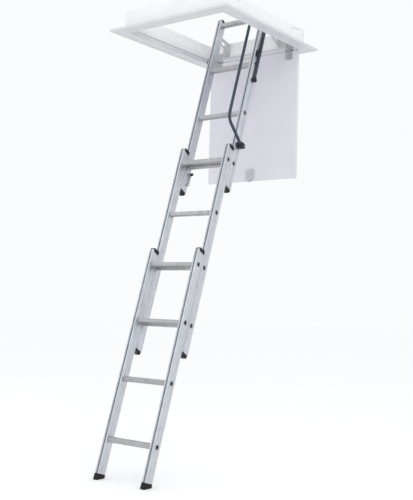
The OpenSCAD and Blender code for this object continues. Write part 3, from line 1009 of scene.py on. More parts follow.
@dataclass(frozen=True)
class Screw:
    """A countersunk screw with a cross recess, head up along +Z from where it sits."""

    head_radius: float = 4.0 * MM
    head_height: float = 1.4 * MM
    shank_radius: float = 2.0 * MM
    shank_length: float = 12.0 * MM
    slot_width: float = 1.1 * MM
    slot_length: float = 4.6 * MM
    sides: int = 28

    def template(self) -> Object:
        """The screw as an object, from which copies are scattered.

        Returns:
            The object, in the scene.
        """
        form = Form()
        a, b = self.slot_width / 2, self.slot_length / 2
        cross = [(a, a), (b, a), (b, -a), (a, -a), (a, -b), (-a, -b), (-a, -a), (-b, -a), (-b, a), (-a, a),
                 (-a, b), (a, b)]
        top_radius = self.head_radius * 0.86
        rim = circle(top_radius, sides=self.sides)
        top = form.ring([Vector((x, y, self.head_height)) for x, y in rim + cross])
        for triangle in tessellate_polygon(
            [[Vector((x, y, 0)) for x, y in rim], [Vector((x, y, 0)) for x, y in cross]]
        ):
            form.bm.faces.new([top[i] for i in triangle])
        floor = form.ring([Vector((0.8 * x, 0.8 * y, self.head_height * 0.25)) for x, y in cross])
        form.skin([top[self.sides:], floor])
        form.bm.faces.new(floor)
        rings = [top[: self.sides]]
        for radius, height in ((self.head_radius * 0.96, 0.75), (self.head_radius, 0.4),
                               (self.head_radius, 0.0)):
            rings.append(form.ring([
                Vector((x, y, height * self.head_height)) for x, y in circle(radius, sides=self.sides)]))
        for height in (0.0, -self.shank_length):
            rings.append(form.ring([Vector((x, y, height))
                                    for x, y in circle(self.shank_radius, sides=self.sides)]))
        form.skin(rings)
        form.bm.faces.new(rings[-1])
        return form.object("screw_template")


def scattered(name: str, spots: Sequence[tuple[Vector, Vector]], screw: Screw, tool: NodeTool) -> Object:
    """Put a screw at each spot.

    Args:
        name: Name of the piece.
        spots: Place and facing of each screw.
        screw: The screw.
        tool: The tree that scatters it.

    Returns:
        The screws, as one mesh.
    """
    template = screw.template()
    piece = lines(name, [[place] for place, _ in spots])
    attribute = piece.data.attributes.new("facing", "FLOAT_VECTOR", "POINT")
    attribute.data.foreach_set("vector", [value for _, facing in spots for value in facing])
    tool.run(piece, Template=template, Material=ZINC.material())
    bpy.data.objects.remove(template)
    return piece


# ---- hatch ----

KNUCKLE_R = 3.6 * MM
KNUCKLE_GAP = 0.3 * MM


def knuckle(start: float, stop: float) -> list[Pair]:
    """Profile of a hinge knuckle with eased ends.

    Args:
        start: Where it starts along the hinge.
        stop: Where it ends.

    Returns:
        Pairs of place along the hinge and radius.
    """
    ease = 0.5 * MM
    return [(start, 0), (start, KNUCKLE_R - ease), (start + ease, KNUCKLE_R), (stop - ease, KNUCKLE_R),
            (stop, KNUCKLE_R - ease), (stop, 0)]


@dataclass
class Hatch:
    """Lining, architrave, seal and the hardware that is fixed to them."""

    scatter: NodeTool
    tube: NodeTool
    edge: float = 1.2 * MM
    inner_step: float = 8 * MM
    border: float = 14 * MM
    relief: float = 2.5 * MM
    fixing_radius: float = 3 * MM
    ear_t: float = 4 * MM
    ear_r: float = 16 * MM
    plate_t: float = 4 * MM
    pin_r: float = 6 * MM
    pin_head_r: float = 9 * MM
    leaf_t: float = 2 * MM
    screw: Screw = field(default_factory=Screw)

    def __post_init__(self) -> None:
        """Measure the lining and the architrave."""
        self.right = extent("lining_right")
        self.far = extent("lining_far")
        self.near = extent("lining_near")
        self.board = extent("architrave_right")
        self.half_w = self.right.low.x
        self.half_l = self.far.low.y
        self.height = self.right.high.z

    def build(self) -> None:
        """Build every piece of the hatch."""
        self.linings()
        self.architrave()
        self.seal()
        self.screws()
        self.brackets()
        self.pins()
        self.hinge_leaves()
        self.strike()

    def linings(self) -> None:
        """Four boards; the side ones have joist fixing holes."""
        spacing = Vector((0, 500 * MM, 50 * MM)) / 2
        middle = self.right.centre
        holes = [
            circle(self.fixing_radius, (middle.y + sy * spacing.y, middle.z + sz * spacing.z), 20)
            for sy in (-1, 1) for sz in (-1, 1)
        ]
        outline = rectangle((self.right.low.y, self.right.low.z), (self.right.high.y, self.right.high.z))
        for side in Side:
            form = Form().prism([outline, *holes], self.right.low.x, self.right.high.x, Axis.X).to_side(side)
            publish(form, f"lining_board_{side.word}", WHITE_BOARD, f"lining_{side.word}", self.edge)
        for word, box in (("near", self.near), ("far", self.far)):
            form = Form().box(box.low, box.high, axis=Axis.X)
            publish(form, f"lining_board_{word}", WHITE_BOARD, f"lining_{word}", self.edge)

    def profile(self) -> Loop:
        """Architrave's section, as distance from the opening and height.

        Returns:
            The outline, once round.
        """
        width = self.board.size.x
        deep, shallow = self.board.low.z, self.board.low.z + self.relief
        start = self.inner_step
        stop = width - self.border
        corners = [(0, 0), (0, deep), (start - 1 * MM, deep), (start + 1.5 * MM, shallow),
                   (stop - 4 * MM, shallow), (stop, deep), (width, deep), (width, 0)]
        radii = [0.4 * MM, 2 * MM, 1.2 * MM, 1.5 * MM, 3 * MM, 1.5 * MM, 3 * MM, 0.4 * MM]
        return rounded(corners, radii, 5)

    def architrave(self) -> None:
        """Four mitred boards; the far one is notched for the hinges."""
        places = {
            "near": (self.half_l, self.half_w, -math.pi / 2),
            "far": (self.half_l, self.half_w, math.pi / 2),
            "left": (self.half_w, self.half_l, math.pi),
            "right": (self.half_w, self.half_l, 0.0),
        }
        for word, (across, half_length, turn) in places.items():
            form = Form(Matrix.Rotation(turn, 4, "Z"))
            rings = [
                form.ring([Vector((across + a, end * (half_length + a), z)) for a, z in self.profile()])
                for end in (-1, 1)
            ]
            form.skin(rings)
            for ring in rings:
                form.bm.faces.new(ring)
            piece = form.object(f"architrave_board_{word}")
            if word == "far":
                combined(piece, self.hinge_notches())
            bevelled(piece, 0.5 * MM)
            dress(piece, TRIM_BOARD, f"architrave_{word}")

    def hinge_notches(self) -> Form:
        """Notches in the far board, a little longer than the hinges.

        Returns:
            The notches of both hinges, as a form to cut with.
        """
        hinge = right_extent("frame_hinge_leaves", HATCH)
        room = 2 * MM
        form = Form().box(
            (hinge.low.x - room, self.half_l - room, self.board.low.z - room),
            (hinge.high.x + room, hinge.high.y + room, room))
        return form.both_sides()

    def seal(self) -> None:
        """Foam bulb round the lining's inside, in stretches between the hinges and the strike."""
        box = extent("draught_seal")
        hinge = right_extent("frame_hinge_leaves", HATCH)
        strike = extent("latch_strike")
        radius = box.size.z / 2
        x, y, z = box.high.x - radius, box.high.y - radius, box.centre.z
        gap = 2 * MM
        right = [(hinge.high.x + gap, y, z), (x, y, z), (x, -y, z), (strike.high.x + gap, -y, z)]
        chains = [right, [(-a, b, c) for a, b, c in right],
                  [(hinge.low.x - gap, y, z), (gap - hinge.low.x, y, z)]]
        piece = lines("seal_bulb", chains)
        self.tube.run(piece, Radius=radius, Bend=2 * radius, Sides=20, Material=SEAL_FOAM.material())
        dress(piece, SEAL_FOAM, "draught_seal")

    def screws(self) -> None:
        """Screws of the lining's corners, the pivot brackets and the hinges."""
        spots = []
        for sx in (-1, 1):
            out = Vector((sx, 0, 0))
            for board in (self.near, self.far):
                for share in (0.25, 0.75):
                    place = Vector((sx * self.right.high.x, board.centre.y, share * self.height))
                    spots.append((place, out))
        inward = Vector((0, -1, 0))
        plate = right_extent("pivot_bracket_right", HATCH)
        leaf = right_extent("frame_hinge_leaves", HATCH)
        for sx in (-1, 1):
            for z in (plate.low.z + 14 * MM, self.height - 20 * MM):
                spots.append((Vector((sx * (plate.high.x - 16 * MM), self.half_l - 4 * MM, z)), inward))
            for x in (leaf.centre.x - leaf.size.x / 4, leaf.centre.x + leaf.size.x / 4):
                spots.append((Vector((sx * x, self.half_l - 2 * MM, 22 * MM)), inward))
        piece = scattered("hatch_screws", spots, self.screw, self.scatter)
        dress(piece, ZINC, "frame_screws")

    def brackets(self) -> None:
        """Angle brackets: an ear with the pivot's bore on a screwed base plate."""
        box = extent("pivot_bracket_right")
        y, z = UPPER_PIVOT.y, UPPER_PIVOT.z
        wall = self.half_l
        plate_high = self.height - 6 * MM
        nose = arc(self.ear_r, (y, z), 90, 270, 14)
        outline = [(wall, box.low.z), (wall, plate_high), *nose]
        bore = circle(self.pin_r + 0.2 * MM, (y, z), 32)
        window = rounded([(wall - 22 * MM, box.low.z + 20 * MM), (wall - 22 * MM, plate_high - 12 * MM),
                          (y + 26 * MM, z - 14 * MM), (y + 26 * MM, z - 20 * MM)], 5 * MM)
        for side in Side:
            ear = Form().prism([outline, bore, window], box.low.x, box.low.x + self.ear_t, Axis.X)
            piece = ear.to_side(side).object(f"angle_bracket_{side.word}")
            base = Form().box((box.low.x, wall - self.plate_t, box.low.z), (box.high.x, wall, plate_high),
                              6 * MM, Axis.Y)
            combined(piece, base.to_side(side), "UNION")
            bevelled(piece, 0.5 * MM)
            dress(piece, BRACKET_COAT, f"pivot_bracket_{side.word}")

    def pins(self) -> None:
        """Pivot pins with a domed head inside and a flanged nut outside."""
        box = right_extent("arm_pins", HATCH)
        ear = extent("pivot_bracket_right")
        start, ear_face = box.low.x, ear.low.x + self.ear_t
        nut_r, head_r, pin_r = box.size.y / 2, self.pin_head_r, self.pin_r
        centre = (0, UPPER_PIVOT.y, UPPER_PIVOT.z)
        form = Form().turned([(start, 0), (start, head_r - 1.5 * MM), (start + 0.5 * MM, head_r - 0.4 * MM),
                              (start + 1.2 * MM, head_r), (start + 2 * MM, head_r), (start + 2 * MM, pin_r),
                              (box.high.x, pin_r - 0.6 * MM), (box.high.x + 1.5 * MM, pin_r - 1.2 * MM),
                              (box.high.x + 1.5 * MM, 0)], centre)
        form.turned([(ear_face, pin_r - 0.5 * MM), (ear_face, nut_r), (ear_face + 1 * MM, nut_r),
                     (ear_face + 1.2 * MM, pin_r - 0.5 * MM)], centre, closed=True)
        hexagon = [(centre[1] + a, centre[2] + b) for a, b in circle(nut_r * 0.92, sides=6)]
        form.prism([hexagon], ear_face + 1 * MM, box.high.x, Axis.X).both_sides()
        publish(form, "pivot_pins", ZINC, "arm_pins", 0.4 * MM)

    def hinge_leaves(self) -> None:
        """Frame halves of the hinges: leaf, two knuckles and a headed pin."""
        box = right_extent("frame_hinge_leaves", HATCH)
        axis = Vector(JOINTS["door_hinge"]["pos_m"])
        wall, leaf_t = self.half_l, self.leaf_t
        third = box.size.x / 3
        leaf = rounded(rectangle((box.low.x, 1 * MM), (box.high.x, box.high.z)),
                       [0.3 * MM] * 2 + [6 * MM] * 2)
        form = Form().prism([leaf], wall - leaf_t, wall, Axis.Y)
        for start in (box.low.x, box.low.x + 2 * third + KNUCKLE_GAP):
            stop = start + third - KNUCKLE_GAP
            form.turned(knuckle(start, stop), (0, axis.y, axis.z), sides=28)
            wrap = [(wall - leaf_t, 2 * MM), (wall, 2 * MM), (axis.y, axis.z + KNUCKLE_R - 0.4 * MM),
                    (axis.y, axis.z - KNUCKLE_R + 1 * MM), (wall - leaf_t, axis.z + 0.6 * MM)]
            form.prism([wrap], start, stop, Axis.X)
        form.turned([(box.low.x - 0.6 * MM, 0), (box.low.x - 0.6 * MM, 2 * MM), (box.low.x, 2.6 * MM),
                     (box.high.x, 2.6 * MM), (box.high.x + 0.6 * MM, 2 * MM), (box.high.x + 0.6 * MM, 0)],
                    (0, axis.y, axis.z), sides=20)
        publish(form.both_sides(), "hinge_frame_leaves", ZINC, "frame_hinge_leaves", 0.25 * MM, 1)

    def strike(self) -> None:
        """Strike plate with the bolt's slot and two screw holes."""
        box = extent("latch_strike")
        slot_z = extent("draught_seal").low.z + 6 * MM
        outline = rounded(rectangle((box.low.x, box.low.z), (box.high.x, box.high.z)), 4 * MM)
        slot = rounded(rectangle((-12 * MM, slot_z - 6 * MM), (12 * MM, slot_z + 6 * MM)), 2 * MM)
        holes = [circle(1.8 * MM, (x, box.centre.z + 3 * MM), 16) for x in (-16 * MM, 16 * MM)]
        form = Form().prism([outline, slot, *holes], box.low.y, box.high.y, Axis.Y)
        publish(form, "strike_plate", ZINC, "latch_strike", 0.3 * MM)


# ---- door ----


@dataclass
class Door:
    """Door panel with its hinge leaves and its sprung latch."""

    scatter: NodeTool
    tube: NodeTool
    edge: float = 1.5 * MM
    leaf_t: float = 2 * MM
    wire_r: float = 0.5 * MM
    spring_turns: int = 5
    points_a_turn: int = 16
    spring_room: float = 0.3 * MM

    def build(self) -> None:
        """Build every piece of the door."""
        self.panel()
        self.hinge_leaves()
        self.latch()
        self.spring()

    def panel(self) -> None:
        """Flush panel with eased edges."""
        box = extent("door_panel")
        publish(Form().box(box.low, box.high, 2 * MM, Axis.Y), "door_board", DOOR_BOARD, "door_panel",
                self.edge, 3)

    def hinge_leaves(self) -> None:
        """Door halves of the hinges: cranked leaf, middle knuckle and screws."""
        box = right_extent("door_hinge_leaves", HATCH)
        panel = extent("door_panel")
        axis = Vector(JOINTS["door_hinge"]["pos_m"])
        face, top = panel.low.y, panel.high.z
        third = box.size.x / 3
        start, stop = box.low.x + third + KNUCKLE_GAP, box.low.x + 2 * third - KNUCKLE_GAP
        leaf = rounded(rectangle((box.low.x, box.low.z), (box.high.x, top - 5 * MM)),
                       [6 * MM] * 2 + [1 * MM] * 2)
        form = Form().prism([leaf], face - self.leaf_t, face, Axis.Y)
        form.turned(knuckle(start, stop), (0, axis.y, axis.z), sides=28)
        crank = [(face - self.leaf_t, top - 6 * MM), (face, top - 6 * MM), (face, top + 1 * MM),
                 (axis.y + 1 * MM, axis.z - KNUCKLE_R + 0.2 * MM), (axis.y - 2 * MM, axis.z + 1 * MM),
                 (face + 3 * MM, top + 5 * MM), (face - self.leaf_t, top + 2 * MM)]
        form.prism([crank], start, stop, Axis.X)
        piece = bevelled(form.both_sides().object("hinge_door_leaves"), 0.25 * MM, 1)
        spots = [
            (Vector((sx * x, face - self.leaf_t, box.centre.z)), Vector((0, -1, 0)))
            for sx in (-1, 1) for x in (box.centre.x - box.size.x / 4, box.centre.x + box.size.x / 4)
        ]
        screws = scattered("leaf_screws", spots, Screw(head_height=0.8 * MM), self.scatter)
        joined(piece, screws)
        dress(piece, ZINC, "door_hinge_leaves")

    def latch(self) -> None:
        """Latch housing, and its bolt with a slanted nose."""
        box = extent("latch_housing")
        bolt = extent("latch_bolt")
        outline = rounded(rectangle((box.low.x, box.low.z), (box.high.x, box.high.z)), 5 * MM, 6)
        piece = Form().prism([outline], box.low.y, box.high.y, Axis.Y).object("latch_body")
        gap = 0.5 * MM
        pocket = Form().box((bolt.low.x - gap, bolt.low.y - gap, box.low.z - 5 * MM),
                            (bolt.high.x + gap, bolt.high.y + gap, box.high.z - 6 * MM))
        combined(piece, pocket)
        bevelled(piece, 1.2 * MM, 3)
        dress(piece, WHITE_PLASTIC, "latch_housing")
        nose = [(bolt.low.y, bolt.low.z + 6 * MM), (bolt.high.y - 2 * MM, bolt.low.z),
                (bolt.high.y, bolt.low.z),
                (bolt.high.y, bolt.high.z), (bolt.low.y, bolt.high.z)]
        form = Form().prism([rounded(nose, 0.5 * MM, 3)], bolt.low.x, bolt.high.x, Axis.X)
        publish(form, "latch_tongue", ZINC, "latch_bolt", 0.4 * MM)

    def spring(self) -> None:
        """Coil spring over the bolt."""
        box = extent("latch_spring")
        reach, rise = box.size.x / 2 - self.wire_r, box.size.z - 2 * self.wire_r
        steps = self.spring_turns * self.points_a_turn
        plan = arc(reach, (box.centre.x, box.centre.y), 0, 360 * self.spring_turns, steps)
        coil = [(x, y, box.low.z + self.wire_r + rise * k / steps) for k, (x, y) in enumerate(plan)]
        piece = lines("latch_coil", [coil])
        self.tube.run(piece, Radius=self.wire_r, Bend=0.3 * MM, Sides=8, Material=ZINC.material())
        dress(piece, ZINC, "latch_spring")
        travel = max(JOINTS["latch_slide"]["range_m"])
        left = box.size.z - travel - self.spring_room
        left / box.size.z
        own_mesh(piece)


def joined(piece: Object, other: Object) -> Object:
    """Add another object's mesh to a piece, and remove the other object.

    Args:
        piece: The object that stays.
        other: The object that is added to it.

    Returns:
        The first object.
    """
    bm = bmesh.new()
    bm.from_mesh(piece.data)
    bm.from_mesh(other.data)
    bm.to_mesh(piece.data)
    bm.free()
    bpy.data.objects.remove(other)
    return piece


# ---- swing arms ----


@dataclass
class SwingArms:
    """The two flat arms on which the ladder hangs."""

    bar_w: float = 18 * MM
    rib_w: float = 7 * MM
    rib_h: float = 1.2 * MM
    eye_inset: float = 34 * MM

    def build(self) -> None:
        """Build both arms."""
        for side in Side:
            self.arm(side)

    def outline(self, length: float, eye_r: float) -> Loop:
        """Bar with a round eye at each end, necked down between them.

        Args:
            length: Distance between the two eyes.
            eye_r: An eye's radius.

        Returns:
            The outline, once round.
        """
        neck = math.asin(self.bar_w / 2 / eye_r)
        steps = 24
        loop: Loop = []
        for centre, start in ((0.0, -math.pi / 2 + neck), (-length, math.pi / 2 + neck)):
            turn = math.tau - 2 * neck
            for k in range(steps + 1):
                angle = start + turn * k / steps
                loop.append((eye_r * math.cos(angle), centre + eye_r * math.sin(angle)))
        return loop

    def arm(self, side: Side) -> None:
        """One arm: a necked bar with a pressed rib and two bores.

        Args:
            side: Which arm it is.
        """
        node = f"swing_arm_{side.word}"
        box = extent("swing_arm_right", LADDER)
        length = ARM_LINE.length
        bores = [circle(9.3 * MM), circle(6.1 * MM, (0, -length), 32)]
        form = Form(LADDER).prism([self.outline(length, box.size.y / 2), *bores], box.low.x, box.high.x,
                                  Axis.X)
        piece = form.to_side(side).object(f"arm_bar_{side.word}")
        rib = rounded(rectangle((-self.rib_w / 2, self.eye_inset - length),
                                (self.rib_w / 2, -self.eye_inset)),
                      self.rib_w / 2 - 0.1 * MM, 8)
        groove = Form(LADDER).prism([rib], box.high.x - self.rib_h, box.high.x + self.rib_h, Axis.X)
        combined(piece, groove.to_side(side))
        bevelled(piece, 0.7 * MM)
        dress(piece, NAVY_COAT, node)


# ---- ladder sections ----


@dataclass(frozen=True)
class StileSection:
    """Cross-section of a stile: a hollow box with a T-slot in its front and its back."""

    wall: float = 2 * MM
    mouth: float = 9 * MM
    cavity_w: float = 15 * MM
    cavity_d: float = 5 * MM
    web: float = 1.6 * MM
    line_depth: float = 0.7 * MM
    line_width: float = 1.6 * MM
    line_place: float = 15 * MM

    def loops(self, width: float, depth: float) -> list[Loop]:
        """Outline and chamber, centred.

        Args:
            width: Across the ladder.
            depth: Front to back.

        Returns:
            The outline and the chamber.
        """
        w, d, m, c = width / 2, depth / 2, self.mouth / 2, self.cavity_w / 2
        lip, deep = d - self.wall, d - self.wall - self.cavity_d
        slot = [(m, d), (m, lip), (c, lip), (c, deep), (-c, deep), (-c, lip), (-m, lip), (-m, d)]
        slot_r = [0.5 * MM] * 2 + [0.3 * MM] * 4 + [0.5 * MM] * 2
        back = [(w, d), *slot, (-w, d)]
        back_r = [1.6 * MM, *slot_r, 1.6 * MM]
        flank = [(-w, self.line_place + self.line_width / 2), (-w + self.line_depth, self.line_place),
                 (-w, self.line_place - self.line_width / 2), (-w, self.line_width / 2 - self.line_place),
                 (-w + self.line_depth, -self.line_place), (-w, -self.line_place - self.line_width / 2)]
        flank_r = [0.1 * MM] * 6
        half, half_r = back + flank, back_r + flank_r
        outline = rounded(half + [(-x, -y) for x, y in half], half_r + half_r, 3)
        chamber_w, chamber_d = w - self.wall, deep - self.web
        chamber = rounded(rectangle((-chamber_w, -chamber_d), (chamber_w, chamber_d)), 1 * MM, 3)
        return [outline, chamber]


@dataclass(frozen=True)
class Rung:
    """Hollow tread with rows of teeth, and a flared open spigot at each end."""

    depth: float = 32 * MM
    height: float = 24 * MM
    spigot_r: float = 11 * MM
    bore_r: float = 9.4 * MM
    flare_r: float = 13.5 * MM
    flare_t: float = 1.2 * MM
    ridges: int = 8
    tooth_l: float = 4.4 * MM
    tooth_pitch: float = 6.0 * MM
    tooth_h: float = 1.2 * MM
    nose: float = 1.6 * MM

    def outline(self) -> Loop:
        """Section of the tread without its teeth: a raised nose at front and back.

        Returns:
            The outline, once round.
        """
        d, h = self.depth / 2, self.height / 2
        floor = h - self.tooth_h
        corners = [(-d, h), (-d, 6 * MM - h), (6 * MM - d, -h), (d - 6 * MM, -h), (d, 6 * MM - h), (d, h),
                   (d - self.nose, h), (d - self.nose - 0.5 * MM, floor), (self.nose + 0.5 * MM - d, floor),
                   (self.nose - d, h)]
        return rounded(corners, [0.7 * MM, 2 * MM, 2 * MM, 2 * MM, 2 * MM, 0.7 * MM] + [0.3 * MM] * 4, 3)

    def mesh(self, inner: float, outer: float, teeth: NodeTool) -> bpy.types.Mesh:
        """Mesh of one rung about its own centre.

        Args:
            inner: Half the clear width between the stiles.
            outer: Half the width over the stiles.
            teeth: The tree that makes the teeth.

        Returns:
            The mesh.
        """
        form = Form()
        outline = self.outline()
        flare_end = outer + self.flare_t
        half_profile = [(inner, self.spigot_r), (outer - 0.5 * MM, self.spigot_r),
                        (outer, self.flare_r - 0.4 * MM),
                        (outer + 0.4 * self.flare_t, self.flare_r),
                        (flare_end - 0.2 * MM, self.flare_r - 0.5 * MM),
                        (flare_end, self.flare_r - 1.4 * MM), (flare_end - 0.6 * MM, self.bore_r + 0.9 * MM),
                        (flare_end - 2 * MM, self.bore_r + 0.2 * MM), (flare_end - 4 * MM, self.bore_r)]
        profile = [(-x, r) for x, r in half_profile]
        left = [form.ring([Axis.X.point(a, b, x) for a, b in circle(r)]) for x, r in profile]
        right = [form.ring([Axis.X.point(a, b, -x) for a, b in circle(r)]) for x, r in profile]
        form.skin(left)
        form.skin(right)
        form.skin([left[-1], right[-1]])
        skins = [form.ring([Axis.X.point(a, b, x) for a, b in outline]) for x in (-inner, inner)]
        form.skin(skins)
        flat = [[Vector((a, b, 0)) for a, b in outline],
                [Vector((a, b, 0)) for a, b in circle(self.spigot_r)]]
        for skin, spigot in ((skins[0], left[0]), (skins[1], right[0])):
            corners = skin + spigot
            for triangle in tessellate_polygon(flat):
                form.bm.faces.new([corners[i] for i in triangle])
        body = form.object("rung_body")
        joined(body, self.teeth(inner, teeth))
        mesh = body.data
        bpy.data.objects.remove(body)
        return mesh

    def teeth(self, inner: float, tool: NodeTool) -> Object:
        """The rows of teeth, as one mesh.

        Args:
            inner: Half the clear width between the stiles.
            tool: The tree that makes a tooth at each point.

        Returns:
            The teeth, about the centre of the rung.
        """
        count = int((2 * inner - 6 * MM) / self.tooth_pitch)
        floor = self.height / 2 - self.tooth_h
        rows = self.ridges
        row_pitch = (self.depth - 2 * self.nose - 1.5 * MM) / rows
        spots = [
            [((i - (count - 1) / 2) * self.tooth_pitch + (k % 2) * self.tooth_pitch / 2 - self.tooth_pitch / 4,
              (k - (rows - 1) / 2) * row_pitch, floor + self.tooth_h / 2 - 0.1 * MM)]
            for i in range(count) for k in range(rows)
        ]
        piece = lines("rung_teeth", spots)
        return tool.run(piece, **{"Tooth Length": self.tooth_l, "Tooth Width": row_pitch * 0.8,
                                  "Tooth Height": self.tooth_h + 0.2 * MM, "Material": RUNG_METAL.material()})


@dataclass
class Section:
    """One section: two stiles, four rungs, and the caps and shoes on its ends."""

    word: str
    rung_mesh: bpy.types.Mesh
    head_node: str
    tail_node: str | None
    stile: StileSection = field(default_factory=StileSection)
    hole_r: float = 11.4 * MM
    cap_high: float = 9 * MM
    cap_lap: float = 19 * MM
    cap_setback: float = 0.2
    lap_sunk: float = 0.4 * MM
    plug_l: float = 14 * MM
    neck_w: float = 8 * MM
    head_w: float = 14 * MM
    head_d: float = 4 * MM

    def __post_init__(self) -> None:
        """Measure the right stile and the rungs."""
        self.post = extent(f"{self.word}_stile_right", LADDER)
        self.rungs = [extent(f"{self.word}_rung_{k}", HATCH).centre for k in range(1, 5)]

    def build(self) -> None:
        """Build the section's pieces."""
        for side in Side:
            self.build_stile(side)
        for k, centre in enumerate(self.rungs, start=1):
            mesh = self.rung_mesh.copy()
            mesh.transform(Matrix.Translation(centre))
            piece = bpy.data.objects.new(f"{self.word}_tread_{k}", mesh)
            bpy.context.scene.collection.objects.link(piece)
            dress(piece, RUNG_METAL, f"{self.word}_rung_{k}")
        self.build_caps(self.head_node, 1)
        if self.tail_node:
            self.build_caps(self.tail_node, -1)

    def build_stile(self, side: Side) -> None:
        """Slotted extrusion with a hole for each rung's spigot.

        Args:
            side: Which stile it is.
        """
        centre = self.post.centre
        loops = self.stile.loops(self.post.size.x, self.post.size.y)
        placed = [[(centre.x + x, centre.y + y) for x, y in loop] for loop in loops]
        form = Form(LADDER).prism(placed, self.post.low.z, self.post.high.z, Axis.Z).to_side(side)
        piece = form.object(f"{self.word}_upright_{side.word}")
        holes = Form()
        for rung in self.rungs:
            x = side.value * centre.x
            reach = self.post.size.x
            holes.turned([(x - reach, 0), (x - reach, self.hole_r), (x + reach, self.hole_r), (x + reach, 0)],
                         (0, rung.y, rung.z), sides=32)
        combined(piece, holes)
        dress(piece, STILE_METAL, f"{self.word}_stile_{side.word}")

    def build_caps(self, node: str, end: int) -> None:
        """Slanted cap on each stile, lapped down its flanks, with a tongue for its neighbour's slot.

        Args:
            node: The CAD node of the two caps.
            end: 1 for the caps at the head, -1 for those at the tail.
        """
        box = right_extent(node, LADDER)
        seat = self.post.high.z if end > 0 else self.post.low.z
        front, back = self.post.low.y, self.post.high.y
        forward = box.low.y < front - 1 * MM
        tall, short = (front, back) if forward else (back, front)
        width = back - front
        step = 1 if tall > short else -1
        high = seat + end * self.cap_high
        start = short + step * width * self.cap_setback
        slope = [(start, seat), (start + step * 2 * MM, high), (tall, seat + end * MM)]
        lid = [*slope, (tall, seat - end * MM)]
        lap = [(start, seat - end * self.cap_high), *slope, (tall, seat - end * self.cap_lap)]
        form = Form(LADDER).prism([lid], box.low.x, box.high.x, Axis.X)
        for face, skin in ((box.low.x, self.post.low.x + self.lap_sunk),
                           (box.high.x, self.post.high.x - self.lap_sunk)):
            form.prism([lap], min(face, skin), max(face, skin), Axis.X)
        x = self.post.centre.x
        plug = seat - end * self.plug_l
        inner = Vector((self.post.size.x / 2 - 2.3 * MM, width / 2 - 8.9 * MM))
        form.box((x - inner.x, self.post.centre.y - inner.y, min(plug, seat + end * MM)),
                 (x + inner.x, self.post.centre.y + inner.y, max(plug, seat + end * MM)))
        if box.size.y > width + 1 * MM:
            reach = box.low.y if forward else box.high.y
            root = tall - step * 1 * MM
            span = sorted((seat, high))
            neck = sorted((root, reach - step * self.head_d / 2))
            head = sorted((reach - step * self.head_d, reach))
            form.box((x - self.neck_w / 2, neck[0], span[0]), (x + self.neck_w / 2, neck[1], span[1]))
            form.box((x - self.head_w / 2, head[0], span[0]), (x + self.head_w / 2, head[1], span[1]))
        publish(form.both_sides(), f"{node}_moulding", BLACK_PLASTIC, node, 0.8 * MM, 2)


@dataclass
class Feet:
    """Rubber boots round the bottom of the lowest section, cut level with the floor."""

    corner: float = 3.6 * MM
    draw_in: float = 1.2 * MM
    groove: float = 1.0 * MM
    groove_pitch: float = 6 * MM
    first_groove: float = 17 * MM
    overrun: float = 30 * MM
    grooves: int = 2

    def build(self) -> None:
        """Build both boots."""
        box = extent("foot_right", LADDER)
        floor = CAD_BOX[0].z
        for side in Side:
            form = Form(LADDER)
            levels = self.levels(box)
            rings = [form.ring([Vector((x, y, t)) for x, y in self.outline(box, inset + self.draw_in)])
                     for t, inset in levels]
            form.skin(rings)
            form.bm.faces.new(rings[0])
            form.bm.faces.new(rings[-1])
            form.to_side(side)
            inverse = LADDER.inverted()
            plane = inverse @ Vector((0, 0, floor))
            normal = inverse.to_3x3() @ Vector((0, 0, -1))
            cut = bmesh.ops.bisect_plane(form.bm, geom=form.bm.verts[:] + form.bm.edges[:] + form.bm.faces[:],
                                         plane_co=plane, plane_no=normal, clear_outer=True)
            edges = [e for e in cut["geom_cut"] if isinstance(e, bmesh.types.BMEdge)]
            bmesh.ops.contextual_create(form.bm, geom=edges)
            publish(form, f"boot_{side.word}", FOOT_RUBBER, f"foot_{side.word}")

    def levels(self, box: Extent) -> list[Pair]:
        """Heights along the ladder with how far the boot is drawn in there.

        Args:
            box: The boot's extent.

        Returns:
            Pairs of height and inset, from the bottom up.
        """
        top = box.high.z
        levels = [(box.low.z - self.overrun, 0.0)]
        start = top - self.first_groove
        for k in range(self.grooves):
            t = start + k * self.groove_pitch
            levels += [(t, 0.0), (t + 0.4 * MM, self.groove), (t + 1.6 * MM, self.groove),
                       (t + 2.0 * MM, 0.0)]
        levels += [(top - 3 * MM, 0.0), (top - 1.2 * MM, 0.5 * MM), (top - 0.3 * MM, 1.1 * MM),
                   (top, 1.9 * MM)]
        return levels

    def outline(self, box: Extent, inset: float) -> Loop:
        """The boot's outline, drawn in by an inset.

        Args:
            box: The boot's extent.
            inset: How far every side is drawn in.

        Returns:
            The outline, once round.
        """
        low = (box.low.x + inset, box.low.y + inset)
        high = (box.high.x - inset, box.high.y - inset)
        return rounded(rectangle(low, high), self.corner - inset, 5)


# ---- what is fixed to the top section ----


